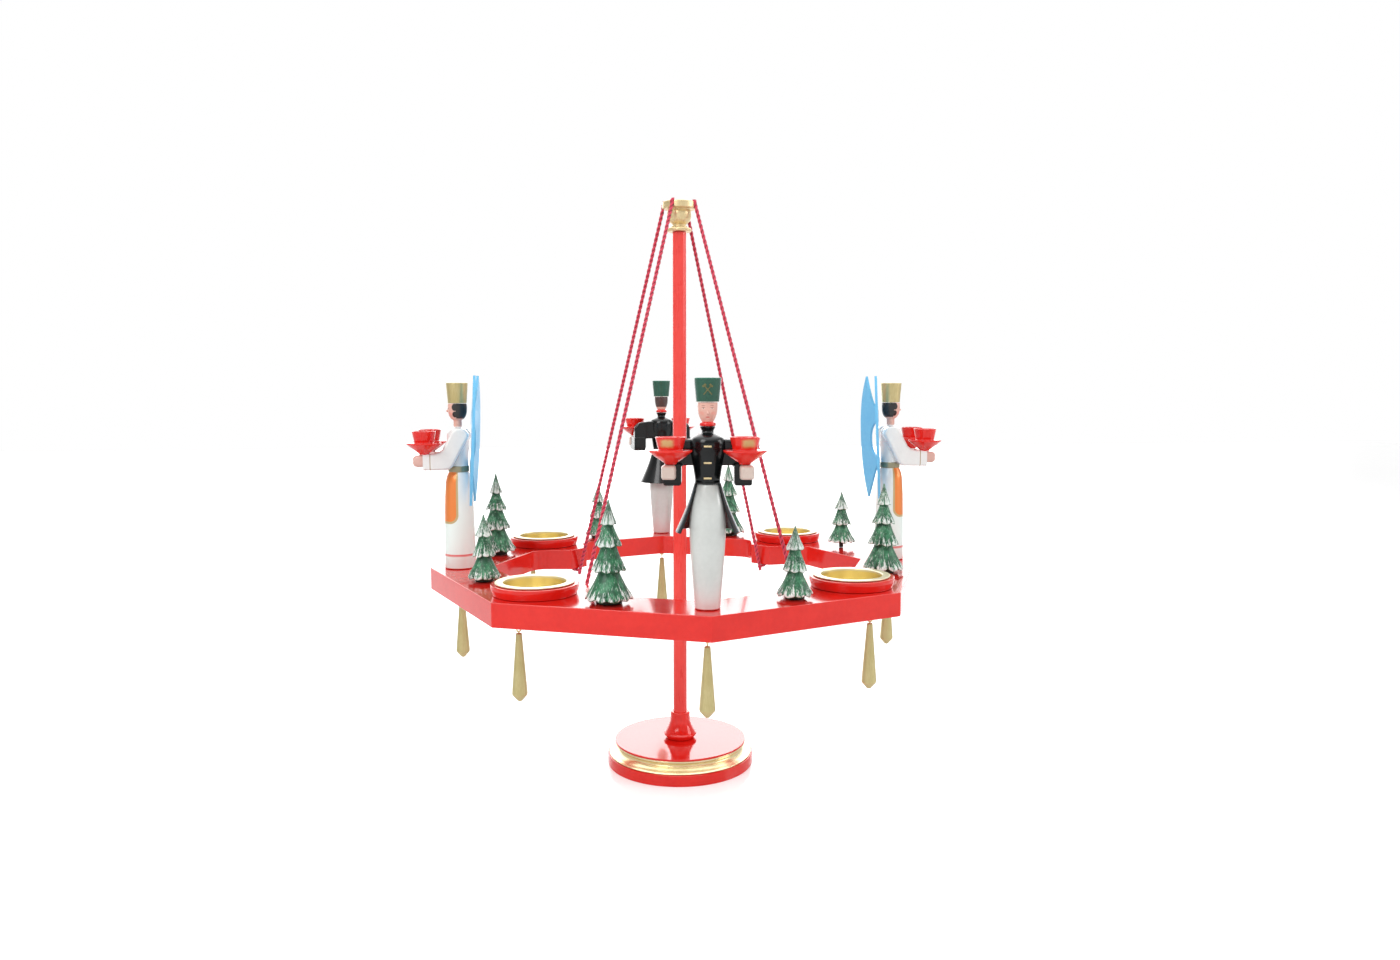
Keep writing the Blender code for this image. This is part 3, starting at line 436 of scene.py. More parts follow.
    @staticmethod
    def sawn(name: str, outline: Sequence[Point], low: float, high: float, rounding: float) -> Piece:
        """A shape sawn from a board and rounded.

        Args:
            name: The piece's name.
            outline: (y, z) of its corners.
            low: The x of its inner face.
            high: The x of its outer face.
            rounding: Radius of its edges.

        Returns:
            The piece.
        """
        obj = Bench.polygon(name, [(low, y, z) for y, z in outline])
        bpy.ops.mesh.extrude_region_move(TRANSFORM_OT_translate={"value": (high - low, 0, 0)})
        Bench.tidy(obj, fill=False)
        Bench.bevel(obj, rounding, 5)
        return obj

    @staticmethod
    def cuffed(obj: Piece, cut: float, wall: float = 0.0009, hollow: float = 0.0010) -> None:
        """Cuts a sleeve off square at a depth y and hollows its end.

        Args:
            obj: The sleeve.
            cut: The y past which it is cut off.
            wall: How thick the cuff is left.
            hollow: How deep it is hollowed.
        """
        Bench.take(obj)
        bpy.ops.object.mode_set(mode="EDIT")
        bpy.ops.mesh.select_all(action="SELECT")
        bpy.ops.mesh.bisect(plane_co=(0, cut, 0), plane_no=(0, -1, 0), clear_outer=True, use_fill=True)
        bpy.ops.mesh.select_all(action="DESELECT")
        bpy.ops.object.mode_set(mode="OBJECT")
        for face in obj.data.polygons:
            face.select = all(abs(obj.data.vertices[i].co.y - cut) < NEAR for i in face.vertices)
        bpy.ops.object.mode_set(mode="EDIT")
        bpy.ops.mesh.select_mode(type="FACE")
        bpy.ops.mesh.inset(thickness=wall)
        bpy.ops.mesh.extrude_region_move(TRANSFORM_OT_translate={"value": (0, hollow, 0)})
        bpy.ops.mesh.select_mode(type="VERT")
        bpy.ops.object.mode_set(mode="OBJECT")

    @staticmethod
    def wire_ring(name: str, centre: Sequence[float], rotation: Sequence[float]) -> Piece:
        """A ring of wire, as an eye and a drop's loop both are."""
        return Bench.added(name, bpy.ops.mesh.primitive_torus_add, major_radius=EYE_RADIUS, minor_radius=WIRE_RADIUS,
                           major_segments=32, minor_segments=12, location=centre, rotation=rotation)

    @staticmethod
    def bevel(obj: Piece, width: float, segments: int = 2, angle: float = 30) -> None:
        """Rounds every edge sharper than an angle in degrees."""
        Bench.applied(obj, "Eased edges", "BEVEL", width=width, segments=segments, limit_method="ANGLE",
                      angle_limit=radians(angle))

    @staticmethod
    def joined(obj: Piece, *others: Piece, operation: str = "UNION") -> Piece:
        """Joins other shapes to a piece, or cuts them from it, and removes them.

        Args:
            obj: The piece.
            others: The shapes.
            operation: "UNION" or "DIFFERENCE".

        Returns:
            The piece.
        """
        for other in others:
            Bench.applied(obj, "Shape", "BOOLEAN", operation=operation, solver="EXACT", object=other)
            Bench.discard(other)
        return obj

    @staticmethod
    def copied(obj: Piece, name: str, place: Matrix) -> Piece:
        """A copy with its own mesh, placed.

        Args:
            obj: The model piece.
            name: The copy's name.
            place: Where it goes.

        Returns:
            The copy.
        """
        twin = obj.copy()
        twin.data = obj.data.copy()
        twin.name = name
        bpy.context.scene.collection.objects.link(twin)
        twin.data.transform(place)
        return twin

    @staticmethod
    def discard(*models: Piece) -> None:
        """Removes pieces that have done their work."""
        for model in models:
            bpy.data.objects.remove(model)


def placed(place: Vector, angle: float = 0.0) -> Matrix:
    """A place with a turn about the upright axis."""
    return Matrix.Translation(place) @ Matrix.Rotation(angle, 4, "Z")


def fitted(obj: Piece, body: str, slot: Slot, *nodes: str) -> None:
    """Lets a piece ride on its body, in the place of CAD nodes.

    Args:
        obj: The piece.
        body: The body that carries it.
        slot: The material slot that its finish comes from; not used.
        nodes: The nodes that it stands for.
    """
    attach(obj, body)
    if nodes:
        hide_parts(*nodes)
    LOG.info("%s rides on %s, %d faces", obj.name, body, len(obj.data.polygons))


# Materials


@dataclass
class Value:
    """A number that a node tree works out, so that a mask reads as a sum."""

    net: Net
    socket: Socket

    def math(self, operation: str, other: Value | float | None = None) -> Value:
        """The outcome of one Math node."""
        node = self.net.node("Math", self, other)
        node.operation = operation
        return Value(self.net, node.outputs[0])

    def __add__(self, other: Value | float) -> Value:
        """Sum."""
        return self.math("ADD", other)

    def __sub__(self, other: Value | float) -> Value:
        """Difference."""
        return self.math("SUBTRACT", other)

    def __mul__(self, other: Value | float) -> Value:
        """Product."""
        return self.math("MULTIPLY", other)

    def size(self) -> Value:
        """Its value without its sign."""
        return self.math("ABSOLUTE")

    def inverse(self) -> Value:
        """1 less the value."""
        return (self * -1.0) + 1.0

    def either(self, other: Value | float) -> Value:
        """The larger of two."""
        return self.math("MAXIMUM", other)

    def over(self, edge: float, soft: float) -> Value:
        """1 where the value is over an edge.

        Args:
            edge: The middle of the border.
            soft: Half the border's width.

        Returns:
            The share.
        """
        node = self.net.node("MapRange", self, edge - soft, edge + soft)
        node.interpolation_type = "SMOOTHSTEP"
        return Value(self.net, node.outputs["Result"])

    def under(self, edge: float, soft: float) -> Value:
        """1 where the value is under an edge, with a soft border."""
        return self.over(edge, soft).inverse()

    def between(self, low: float, high: float, soft: float) -> Value:
        """1 where the value lies between two edges."""
        return self.over(low, soft) * self.under(high, soft)


Feed = Value | float | Sequence[float] | Socket | None


@dataclass
class Net:
    """A tree of nodes, of a material or of the world."""

    tree: bpy.types.NodeTree

    def link(self, value: Feed, socket: Socket) -> None:
        """Feeds a socket.

        Args:
            value: A value, another socket, plain numbers, or nothing.
            socket: The socket that gets it.
        """
        value = value.socket if isinstance(value, Value) else value
        if isinstance(value, Socket):
            self.tree.links.new(value, socket)
        elif value is not None:
            socket.default_value = value

    def node(self, kind: str, *feeds: Feed, **named: Feed) -> bpy.types.Node:
        """Adds a node.

        Args:
            kind: Its type, without the leading words ShaderNode.
            feeds: What its first sockets get, in order.
            named: What other sockets get, by name.

        Returns:
            The node.
        """
        node = self.tree.nodes.new(f"ShaderNode{kind}")
        for feed, socket in zip(feeds, node.inputs):
            self.link(feed, socket)
        for name, feed in named.items():
            self.link(feed, node.inputs[name])
        return node

    def split(self, vector: Socket) -> tuple[Value, ...]:
        """The three numbers of a vector."""
        return tuple(Value(self, socket) for socket in self.node("SeparateXYZ", vector).outputs)

    def blend(self, mask: Value, low: Value | float, high: Value | float) -> Value:
        """A number that goes from low to high where the mask is 1."""
        return Value(self, self.node("Mix", mask, None, low, high).outputs[0])

    def ray(self, kind: str) -> Value:
        """1 for the light rays of one kind."""
        return Value(self, self.node("LightPath").outputs[kind])


class Look(Net):
    """A material and its nodes."""

    def __init__(self, name: str, place: Matrix | None = None) -> None:
        """Starts a material.

        Args:
            name: Its name.
            place: The frame in which its marks are measured.
        """
        self.material = bpy.data.materials.new(name)
        self.material.use_nodes = True
        super().__init__(self.material.node_tree)
        self.shader = self.tree.nodes["Principled BSDF"]
        coordinates = self.node("TexCoord")
        self.uv = coordinates.outputs["UV"]
        mapping = self.node("Mapping", coordinates.outputs["Object"])
        mapping.vector_type = "TEXTURE"
        if place is not None:
            mapping.inputs["Location"].default_value = place.to_translation()
            mapping.inputs["Rotation"].default_value = place.to_euler()
        self.here = mapping.outputs["Vector"]

    def axes(self) -> tuple[Value, ...]:
        """The place on the piece as three numbers."""
        return self.split(self.here)

    def noise(self, scale: float, detail: float = 2.0, stretch: Sequence[float] = (1, 1, 1),
              vector: Socket | None = None) -> Value:
        """Soft noise.

        Args:
            scale: Waves in a metre, or in a unit of the vector.
            detail: How many finer waves are laid over.
            stretch: Factors on the three axes.
            vector: Coordinates to use in place of the piece's own.

        Returns:
            A value about 0.5.
        """
        mapping = self.node("Mapping", vector or self.here, Scale=stretch)
        return Value(self, self.node("TexNoise", mapping.outputs["Vector"], Scale=scale, Detail=detail).outputs["Fac"])

    def attribute(self, name: str) -> Value:
        """A number kept on the mesh."""
        node = self.node("Attribute")
        node.attribute_name = name
        return Value(self, node.outputs["Fac"])

    def mixed(self, mask: Value, low: Colour | Socket, high: Colour) -> Socket:
        """A mixed colour.

        Args:
            mask: The share of the second colour.
            low: The first colour.
            high: The second colour.

        Returns:
            The colour's socket.
        """
        node = self.node("Mix", mask)
        node.data_type = "RGBA"
        self.link(low if isinstance(low, Socket) else (*low, 1), node.inputs[6])
        self.link((*high, 1), node.inputs[7])
        return node.outputs[2]

    def bump(self, height: Value, strength: float, distance: float) -> None:
        """Lets a height move the surface's normal."""
        node = self.node("Bump", Strength=strength, Distance=distance, Height=height)
        self.tree.links.new(node.outputs["Normal"], self.shader.inputs["Normal"])

    def feed(self, **values: Feed) -> None:
        """Feeds numbers or sockets to the shader; a name's underscores stand for spaces."""
        for name, value in values.items():
            self.link(value, self.shader.inputs[name.replace("_", " ")])

    def cover(self, obj: Piece) -> None:
        """Makes this the one material of a piece."""
        obj.data.materials.clear()
        obj.data.materials.append(self.material)


Mask = Callable[[Look], Value]


@dataclass(frozen=True)
class Mark:
    """A painted mark."""

    mask: Mask
    colour: Colour
    roughness: float | None = None
    metallic: float | None = None


def band(low: float, high: float, soft: float = PAINT_EDGE, wobble: float = 0.0) -> Mask:
    """A painted band between two heights.

    Args:
        low: Its lower edge.
        high: Its upper edge.
        soft: How soft its edges are.
        wobble: How far its edges stray, as by a hand-held brush.

    Returns:
        The mask.
    """

    def mask(look: Look) -> Value:
        """The band's nodes."""
        height = look.axes()[2]
        if wobble:
            height = height + (look.noise(180, 1) - 0.5) * (2 * wobble)
        return height.between(low, high, soft)

    return mask


def dot(centre: Sequence[float], size: Sequence[float], soft: float = 0.12) -> Mask:
    """A painted spot where an egg-shaped volume meets the surface.

    Args:
        centre: The volume's middle.
        size: Its three half lengths.
        soft: How soft its edge is, as a share of its size.

    Returns:
        The mask.
    """

    def mask(look: Look) -> Value:
        """The spot's nodes."""
        total: Value | None = None
        for axis, middle, half in zip(look.axes(), centre, size):
            part = (axis - middle) * (1 / half)
            part = part * part
            total = part if total is None else total + part
        return total.under(1.0, soft)

    return mask


def pair(centre: Sequence[float], size: Sequence[float], soft: float, colour: Colour) -> list[Mark]:
    """The same spot on both sides of a face.

    Args:
        centre: The middle of the spot at +X.
        size: Its three half lengths.
        soft: How soft its edge is, as a share of its size.
        colour: Its colour.

    Returns:
        Both marks.
    """
    return [Mark(dot((side * centre[0], *centre[1:]), size, soft), colour) for side in (-1, 1)]


def panel(low: float, high: float, half: float, rounding: float, grow: float = 0.0) -> Mask:
    """A painted panel on the front of a turned piece, with rounded lower corners.

    Args:
        low: Its lower edge.
        high: Its upper edge.
        half: Its half width, measured round a robe of 10.5 mm radius.
        rounding: Radius of the lower corners.
        grow: How much wider and lower it is drawn.

    Returns:
        The mask.
    """
    robe_radius = 0.0105

    def mask(look: Look) -> Value:
        """The panel's nodes."""
        x, y, z = look.axes()
        across = x.math("ARCTAN2", y * -1.0) * robe_radius
        out_x = (across.size() - (half - rounding)).either(0.0)
        out_z = ((z * -1.0) + (low + rounding)).either(0.0)
        reach = (out_x * out_x + out_z * out_z).math("SQRT")
        return reach.under(rounding + grow, PAINT_EDGE) * z.under(high, PAINT_EDGE)

    return mask


def reflection_patch(middle: float, half: float, low: float, high: float, back: float) -> Mask:
    """A soft patch of painted reflection on the front of a cup.

    Args:
        middle: Where it is, across the figure.
        half: Its half width.
        low: Its lower edge.
        high: Its upper edge.
        back: It lies before this place.

    Returns:
        The mask.
    """

    def mask(look: Look) -> Value:
        """The mark's nodes."""
        x, y, z = look.axes()
        stray = (look.noise(500, 2) - 0.5) * 0.0012
        inside = (x - middle + stray).size().under(half, 0.0015)
        return inside * (z + stray).between(low, high, 0.0011) * y.under(back, 0.0003)

    return mask


def behind(edge: float, low: float, high: float, soft: float = 0.0003) -> Mask:
    """Hair: all that lies behind an upright plane, between two heights.

    Args:
        edge: The plane's place from front to back.
        low: The lower height.
        high: The upper height.
        soft: How soft its border is.

    Returns:
        The mask.
    """

    def mask(look: Look) -> Value:
        """The hair's nodes."""
        y = look.axes()[1] + (look.noise(420, 2) - 0.5) * 0.0012
        return y.over(edge, soft) * look.axes()[2].between(low, high, soft)

    return mask


@dataclass(frozen=True)
class Finish:
    """A paint or metal with the small unevenness of the real one."""

    name: str
    colour: Colour
    shade: Colour
    roughness: float
    metallic: float = 0.0
    coat: float = 0.0
    coat_roughness: float = 0.04
    ior: float = 1.5
    patch: float = 60.0
    streak: Sequence[float] = (1, 1, 1)
    grain: float = 700.0
    grain_depth: float = 0.00004
    grain_strength: float = 0.25
    variation: float = 0.08

    def dress(self, obj: Piece, body: str, slot: Slot, *nodes: str, place: Matrix | None = None,
              marks: Sequence[Mark] = ()) -> None:
        """Puts the finish on a piece and lets it ride on its body.

        Args:
            obj: The piece.
            body: The body that carries it.
            slot: The material slot of the finish.
            nodes: The nodes that the piece stands for.
            place: The piece's own frame, in which its marks are measured.
            marks: What is painted on it, from the lowest layer up.
        """
        look = Look(f"{obj.name}_{self.name}", place)
        patch = look.noise(self.patch, 3)
        streak = look.noise(self.grain, 3, self.streak)
        colour = look.mixed((patch * 0.6 + streak * 0.4).over(0.5, 0.2), self.shade, self.colour)
        rough = (streak - 0.5) * self.variation + ((patch - 0.5) * self.variation + self.roughness)
        metallic: Value | float = self.metallic
        for mark in marks:
            where = mark.mask(look)
            colour = look.mixed(where, colour, mark.colour)
            if mark.roughness is not None:
                rough = look.blend(where, rough, mark.roughness)
            if mark.metallic is not None:
                metallic = look.blend(where, metallic, mark.metallic)
        look.feed(Base_Color=colour, Roughness=rough, Metallic=metallic, IOR=self.ior, Coat_Weight=self.coat,
                  Coat_Roughness=self.coat_roughness)
        look.bump(streak * 0.7 + patch * 0.3, self.grain_strength, self.grain_depth)
        look.cover(obj)
        fitted(obj, body, slot, *nodes)


@dataclass(frozen=True)
class Yarn:
    """Dark red yarn: fibres that follow each strand, with painted shade in the creases where the strands meet."""

    dark: Colour = (0.56, 0.018, 0.055)
    light: Colour = (0.84, 0.080, 0.145)
    patch: Colour = (0.66, 0.030, 0.075)
    # Painted shade for the creases between the strands.
    seam: Colour = (0.17, 0.002, 0.010)

    def dress(self, obj: Piece) -> None:
        """Puts the yarn on a piece.

        Args:
            obj: The cord or the knot.
        """
        look = Look(f"{obj.name}_yarn")
        fibre = look.noise(1.0, 3, (60, 900, 1), look.uv)
        patch = look.noise(90, 2)
        colour = look.mixed(fibre.over(0.5, 0.16), self.dark, self.light)
        colour = look.mixed((patch * 0.5).over(0.28, 0.08), colour, self.patch)
        # Painted shade: the creases where the strands meet, where the lobe is small, go darker.
        colour = look.mixed(look.attribute("tint").under(0.50, 0.28) * 0.85, colour, self.seam)
        look.feed(Base_Color=colour, Roughness=0.55, Sheen_Weight=0.4, Sheen_Roughness=0.4)
        look.bump(fibre, 0.6, 0.0001)
        look.cover(obj)


@dataclass(frozen=True)
class Stain:
    """Green stain with dry white brush strokes, with painted shade under each tier and in the gouges."""

    dark: Colour = (0.005, 0.080, 0.032)
    green: Colour = (0.020, 0.180, 0.072)
    light: Colour = (0.10, 0.36, 0.19)
    white: Colour = (0.78, 0.84, 0.80)
    # Painted shade under the tiers and in the gouges.
    painted_shade: Colour = (0.006, 0.024, 0.013)

    def dress(self, obj: Piece) -> None:
        """Puts the stain on a piece.

        Args:
            obj: The tree.
        """
        look = Look(f"{obj.name}_stain")
        tint = look.attribute("tint")
        strokes = look.noise(1.0, 4, (170, 30, 1), look.uv)
        patch = look.noise(260, 3)
        colour = look.mixed(patch.over(0.5, 0.14), self.dark, self.green)
        colour = look.mixed((strokes * 0.6 + patch * 0.4).over(0.57, 0.06), colour, self.light)
        white = (tint + (strokes - 0.5) * 2.8 + (patch - 0.5) * 0.4).over(0.60, 0.16)
        colour = look.mixed(white, colour, self.white)
        # Painted shade where the tint falls below zero: under each tier, down the trunk and in the gouges.
        colour = look.mixed(tint.under(-0.30, 0.30), colour, self.painted_shade)
        look.feed(Base_Color=colour, Roughness=(strokes - 0.5) * 0.3 + 0.48, Coat_Weight=0.15, Coat_Roughness=0.2)
        look.bump(strokes * 0.6 + white * 0.4, 0.55, 0.00022)
        look.cover(obj)


RED = Finish("red_lacquer", (0.80, 0.020, 0.012), (0.72, 0.014, 0.009), 0.14, coat=0.35, ior=1.4, grain=320,
             grain_depth=0.00002, variation=0.05)
GILT = Finish("pale_gold", (0.84, 0.69, 0.40), (0.68, 0.53, 0.27), 0.36, metallic=0.7, grain=1500,
              grain_depth=0.00005, grain_strength=0.4, variation=0.14)
BRASS = Finish("brass", (0.88, 0.77, 0.42), (0.82, 0.70, 0.34), 0.30, metallic=0.9, streak=(1, 1, 14),
               grain=900, grain_strength=0.12, variation=0.06)
BLACK = Finish("black_lacquer", (0.006, 0.008, 0.009), (0.003, 0.004, 0.004), 0.20, coat=0.15, ior=1.38, grain=420,
               grain_depth=0.00002, variation=0.05)
WHITE = Finish("white_lacquer", (0.87, 0.88, 0.86), (0.82, 0.83, 0.82), 0.22, coat=0.4, grain=380,
               grain_depth=0.00002, variation=0.06)
GREEN = Finish("green_lacquer", (0.012, 0.100, 0.058), (0.006, 0.070, 0.040), 0.30, coat=0.3, grain=900,
               variation=0.10)
SKIN = Finish("skin_paint", (0.82, 0.50, 0.41), (0.76, 0.43, 0.35), 0.34, coat=0.2, grain=800, variation=0.06)
BLUE = Finish("sky_blue", (0.20, 0.60, 0.92), (0.16, 0.54, 0.89), 0.40, ior=1.35, grain=420, variation=0.08)
RED_PAINT: Colour = (0.72, 0.018, 0.012)
HAIR: Colour = (0.020, 0.018, 0.017)
WIRE = replace(BRASS, name="wire", roughness=0.3)


# Base and pole


@dataclass
class Base:
    """The round foot: a lacquered disc, a gilt moulding and a lacquered top plate."""

    foot_radius: float = 0.0545
    foot_height: float = 0.0085
    plate_radius: float = 0.0491
    plate_edge: float = 0.0014
    height: float = 0.0179
    bore: float = 0.0051
    hollow: float = 0.0469

    def build(self) -> None:
        """Builds and dresses the base."""
        foot = Bench.turned("base_foot", [
            (0, self.foot_height - GAP), (self.foot_radius, self.foot_height - GAP, 0.0008),
            (self.foot_radius, 0, 0.0008), (0, 0)], 128)
        low, high = self.foot_height, self.height - self.plate_edge
        rim = self.foot_radius - 0.0012
        moulding = Bench.turned("base_moulding", [
            (self.bore, high), (self.plate_radius - 0.0002, high, 0.0002),
            (self.plate_radius, high - 0.0008, 0.0009), (self.plate_radius - 0.0006, high - 0.0019, 0.0006),
            (self.hollow + 0.0004, high - 0.0029, 0.0010), (self.hollow, high - 0.0038, 0.0012),
            (self.hollow + 0.0010, low + 0.0032, 0.0016), (self.hollow + 0.0034, low + 0.0016, 0.0018),
            (rim - 0.0008, low + 0.0008, 0.0006), (rim, low + 0.0004, 0.0003), (rim, low), (self.bore, low)], 128, 4)
        plate = Bench.turned("base_plate", [
            (self.bore, self.height), (self.plate_radius, self.height, 0.0005),
            (self.plate_radius, high + GAP / 3, 0.0003), (self.bore, high + GAP / 3)], 128)
        # Glossier gilt for the moulding: the lower roughness is its finish, the lighter colour is painted highlight.
        highlit_gilt = replace(GILT, colour=(0.94, 0.83, 0.53), shade=(0.86, 0.73, 0.42), roughness=0.22, metallic=0.85,
                         streak=(1, 1, 6), grain_strength=0.08)
        RED.dress(Bench.settle(foot), "stand", Slot.RED, "base")
        highlit_gilt.dress(Bench.settle(moulding), "stand", Slot.GILT)
        RED.dress(Bench.settle(plate), "stand", Slot.RED)


@dataclass
class Pole:
    """The pole, and the turned collar at its foot."""

    radius: float = 0.005
    top: float = 0.3942
    seat: float = 0.0182
    collar_top: float = 0.0380
    tenon: float = 0.0044

    def build(self) -> None:
        """Builds and dresses the pole."""
        shaft = Bench.turned("pole_shaft", [
            (0, self.top + 0.0105), (0.0025, self.top + 0.0105, 0.0004), (0.0025, self.top),
            (self.radius, self.top, 0.0003), (self.radius, self.tenon, 0.0003), (0, self.tenon)], 64)
        collar = Bench.turned("pole_collar", [
            (self.radius, self.collar_top), (0.0068, self.collar_top, 0.0004),
            (0.0072, self.collar_top - 0.0008, 0.0004), (0.0072, self.collar_top - 0.0066, 0.0030),
            (0.0091, 0.0262, 0.003), (0.0113, 0.0224, 0.0008), (0.0122, 0.0217, 0.0004), (0.0123, 0.0208, 0.0005),
            (0.0112, 0.0198, 0.0006), (0.0103, self.seat, 0.0003), (self.radius, self.seat)], 72, 4)
        satin = replace(RED, name="red_satin", colour=(0.90, 0.028, 0.018), shade=(0.83, 0.020, 0.013),
                        streak=(1, 1, 0.12), grain=900)
        pale = replace(satin, colour=(0.92, 0.074, 0.060), shade=(0.86, 0.056, 0.046), roughness=0.28, coat=0.2)
        pale.dress(Bench.settle(shaft), "stand", Slot.RED, "pole")
        satin.dress(Bench.settle(collar), "stand", Slot.RED)


@dataclass
class Finial:
    """The gilt cap on the pole, with a recess for the knots and a groove for each cord."""

    bottom: float = 0.3945
    disc_low: float = 0.41065
    disc_top: float = 0.41565
    disc_radius: float = 0.0123
    recess_radius: float = 0.0081
    recess_floor: float = 0.41085
    turn: float = radians(14)
    groove: float = 0.0017
    cord_place: float = 0.0128
    crest: float = 0.415025

    def build(self) -> None:
        """Builds and dresses the finial."""
        low = self.bottom
        body = Bench.turned("finial", [
            (0, self.recess_floor), (self.recess_radius, self.recess_floor, 0.0004),
            (self.recess_radius, self.disc_top, 0.0003), (self.disc_radius, self.disc_top, 0.0009),
            (self.disc_radius, self.disc_low, 0.0009), (0.0089, self.disc_low, 0.0004),
            (0.0082, 0.4100, 0.0004), (0.0089, 0.4080, 0.0014), (0.0088, 0.4052, 0.003), (0.0079, 0.4021, 0.003),
            (0.0049, 0.3996, 0.001), (0.0047, 0.3988, 0.0004), (0.0060, 0.3983, 0.0005), (0.0058, 0.3974, 0.0004),
            (0.0085, 0.3969, 0.0006), (0.0089, 0.3957, 0.0008), (0.0086, low, 0.0004), (0.0026, low, 0.0002),
            (0.0026, low + 0.0108), (0, low + 0.0108)], 96, 4)
        cutters = []
        for corner in Diagonal:
            turn = Matrix.Rotation(corner.angle + self.turn, 4, "Z")
            for name, inner, floor, half in (
                ("groove", self.cord_place - self.groove, self.disc_low - 0.002, self.groove),
                ("channel", 0.004, self.crest - self.groove, self.groove - 0.00012),
            ):
                cutter = Bench.block(name, (2 * half, 0.02, 0.02), (0, -inner - 0.01, floor + 0.01), 0.0003)
                cutter.data.transform(turn)
                cutters.append(cutter)
        Bench.joined(body, *cutters, operation="DIFFERENCE")
        GILT.dress(Bench.settle(body), "hanging_ring", Slot.GILT, "finial")


# Ring


@dataclass
class Ring:
    """The octagonal board with its four noses, and a wire eye under each corner."""

    radius: float = 0.182
    band: float = 0.040
    nose_reach: float = 0.1055
    nose_half: float = 0.0090
    nose_angle: float = radians(37)
    fillet: float = 0.014
    recess_radius: float = 0.0240
    recess_depth: float = 0.0088
    anchor_place: float = 0.1133
    anchor_radius: float = 0.0017
    anchor_depth: float = 0.0045

    def outline(self) -> list[Point]:
        """One quarter of the board, from one plain corner to the next, about the diagonal between them.

        Returns:
            The quarter's corners, in the plane.
        """
        apothem = self.radius * cos(SIDE_ANGLE / 2)
        inner = apothem - self.band
        inner_corner = inner / cos(SIDE_ANGLE / 2)
        points: list[Point] = [tuple(around(self.radius, k * SIDE_ANGLE)[:2]) for k in range(3)]
        diagonal = around(1, SIDE_ANGLE).xy
        across = Vector((-diagonal.y, diagonal.x))
        half: list[list[Point]] = []
        for side in (1, -1):
            tip = diagonal * self.nose_reach + across * (side * self.nose_half)
            way = diagonal * cos(self.nose_angle) + across * (side * sin(self.nose_angle))
            normal = around(1, SIDE_ANGLE * (1 + side / 2)).xy
            root = tip + way * ((inner - tip.dot(normal)) / way.dot(normal))
            flat = Vector((-normal.y, normal.x)) * side
            after = -way
            bend = flat.angle(after) / 2
            middle = root + (flat + after).normalized() * (self.fillet / sin(bend))
            start = root + flat * (self.fillet / tan(bend)) - middle
            end = root + after * (self.fillet / tan(bend)) - middle
            sweep = start.angle_signed(end)
            arc = []
            for k in range(13):
                arm = start.copy()
                arm.rotate(Matrix.Rotation(-sweep * k / 12, 2))
                arc.append(tuple(middle + arm))
            half.append([*arc, tuple(tip)])
        inner_end = tuple(around(inner_corner, 2 * SIDE_ANGLE)[:2])
        inner_start = tuple(around(inner_corner, 0)[:2])
        return [*points, inner_end, *half[0], *reversed(half[1]), inner_start]

    def board(self) -> Piece:
        """The board: one quarter as a face, copied round, thickened and bevelled.

        Returns:
            The board.
        """
        obj = Bench.polygon("octagon_board", [(*spot, RING_BOTTOM) for spot in self.outline()])
        turn = Matrix.Rotation(pi / 2, 3, "Z")
        for _ in range(3):
            bpy.ops.mesh.select_all(action="SELECT")
            bpy.ops.mesh.remove_doubles(threshold=NEAR)
            bpy.ops.mesh.select_all(action="DESELECT")
            shape = bmesh.from_edit_mesh(obj.data)
            max(shape.faces, key=lambda face: face.index).select_set(True)
            bmesh.update_edit_mesh(obj.data)
            bpy.ops.mesh.duplicate()
            shape = bmesh.from_edit_mesh(obj.data)
            for vertex in (v for v in shape.verts if v.select):
                vertex.co = turn @ vertex.co
            bmesh.update_edit_mesh(obj.data)
        bpy.ops.mesh.select_all(action="SELECT")
        bpy.ops.mesh.remove_doubles(threshold=NEAR)
        bpy.ops.mesh.extrude_region_move(TRANSFORM_OT_translate={"value": (0, 0, RING_THICKNESS)})
        bpy.ops.object.mode_set(mode="OBJECT")
        Bench.tidy(obj, fill=False)
        cutters = []
        for corner in Diagonal:
            for place, radius, low, high in (
                (TEALIGHT_PLACE, self.recess_radius, RING_TOP - self.recess_depth, RING_TOP + 0.01),
                (self.anchor_place, self.anchor_radius, RING_BOTTOM - 0.01, RING_BOTTOM + self.anchor_depth),
            ):
                cutters.append(Bench.added(
                    "cutter", bpy.ops.mesh.primitive_cylinder_add, vertices=64, radius=radius, depth=high - low,
                    location=around(place, corner.angle, (low + high) / 2)))
        Bench.joined(obj, *cutters, operation="DIFFERENCE")
        Bench.bevel(obj, 0.00055, 3)
        return obj

    def eye(self) -> Piece:
        """A wire eye with its screwed shank, at the front corner.

        Returns:
            The eye.
        """
        middle = around(DROP_PLACE, 0, EYE_HEIGHT)
        ring = Bench.wire_ring("eye", middle, (pi / 2, 0, 0))
        top, low, wire = RING_BOTTOM + 0.0004, middle.z + EYE_RADIUS, WIRE_RADIUS
        shank = Bench.turned("shank", [
            (0, top), (wire, top), (wire * 1.25, RING_BOTTOM - 0.0001), (wire * 1.2, RING_BOTTOM - 0.0004),
            (wire, low), (0, low - 0.0002)], 20)
        shank.data.transform(Matrix.Translation((middle.x, middle.y, 0)))
        return Bench.settle(Bench.joined(ring, shank))

    def build(self) -> None:
        """Builds and dresses the ring."""
        RED.dress(Bench.settle(self.board()), "hanging_ring", Slot.RED, "octagon_ring")
        model = self.eye()
        for k in range(CORNERS):
            eye = Bench.copied(model, f"ring_eye_{k + 1}", Matrix.Rotation(k * SIDE_ANGLE, 4, "Z"))
            WIRE.dress(eye, "hanging_ring", Slot.BRASS)
        Bench.discard(model)


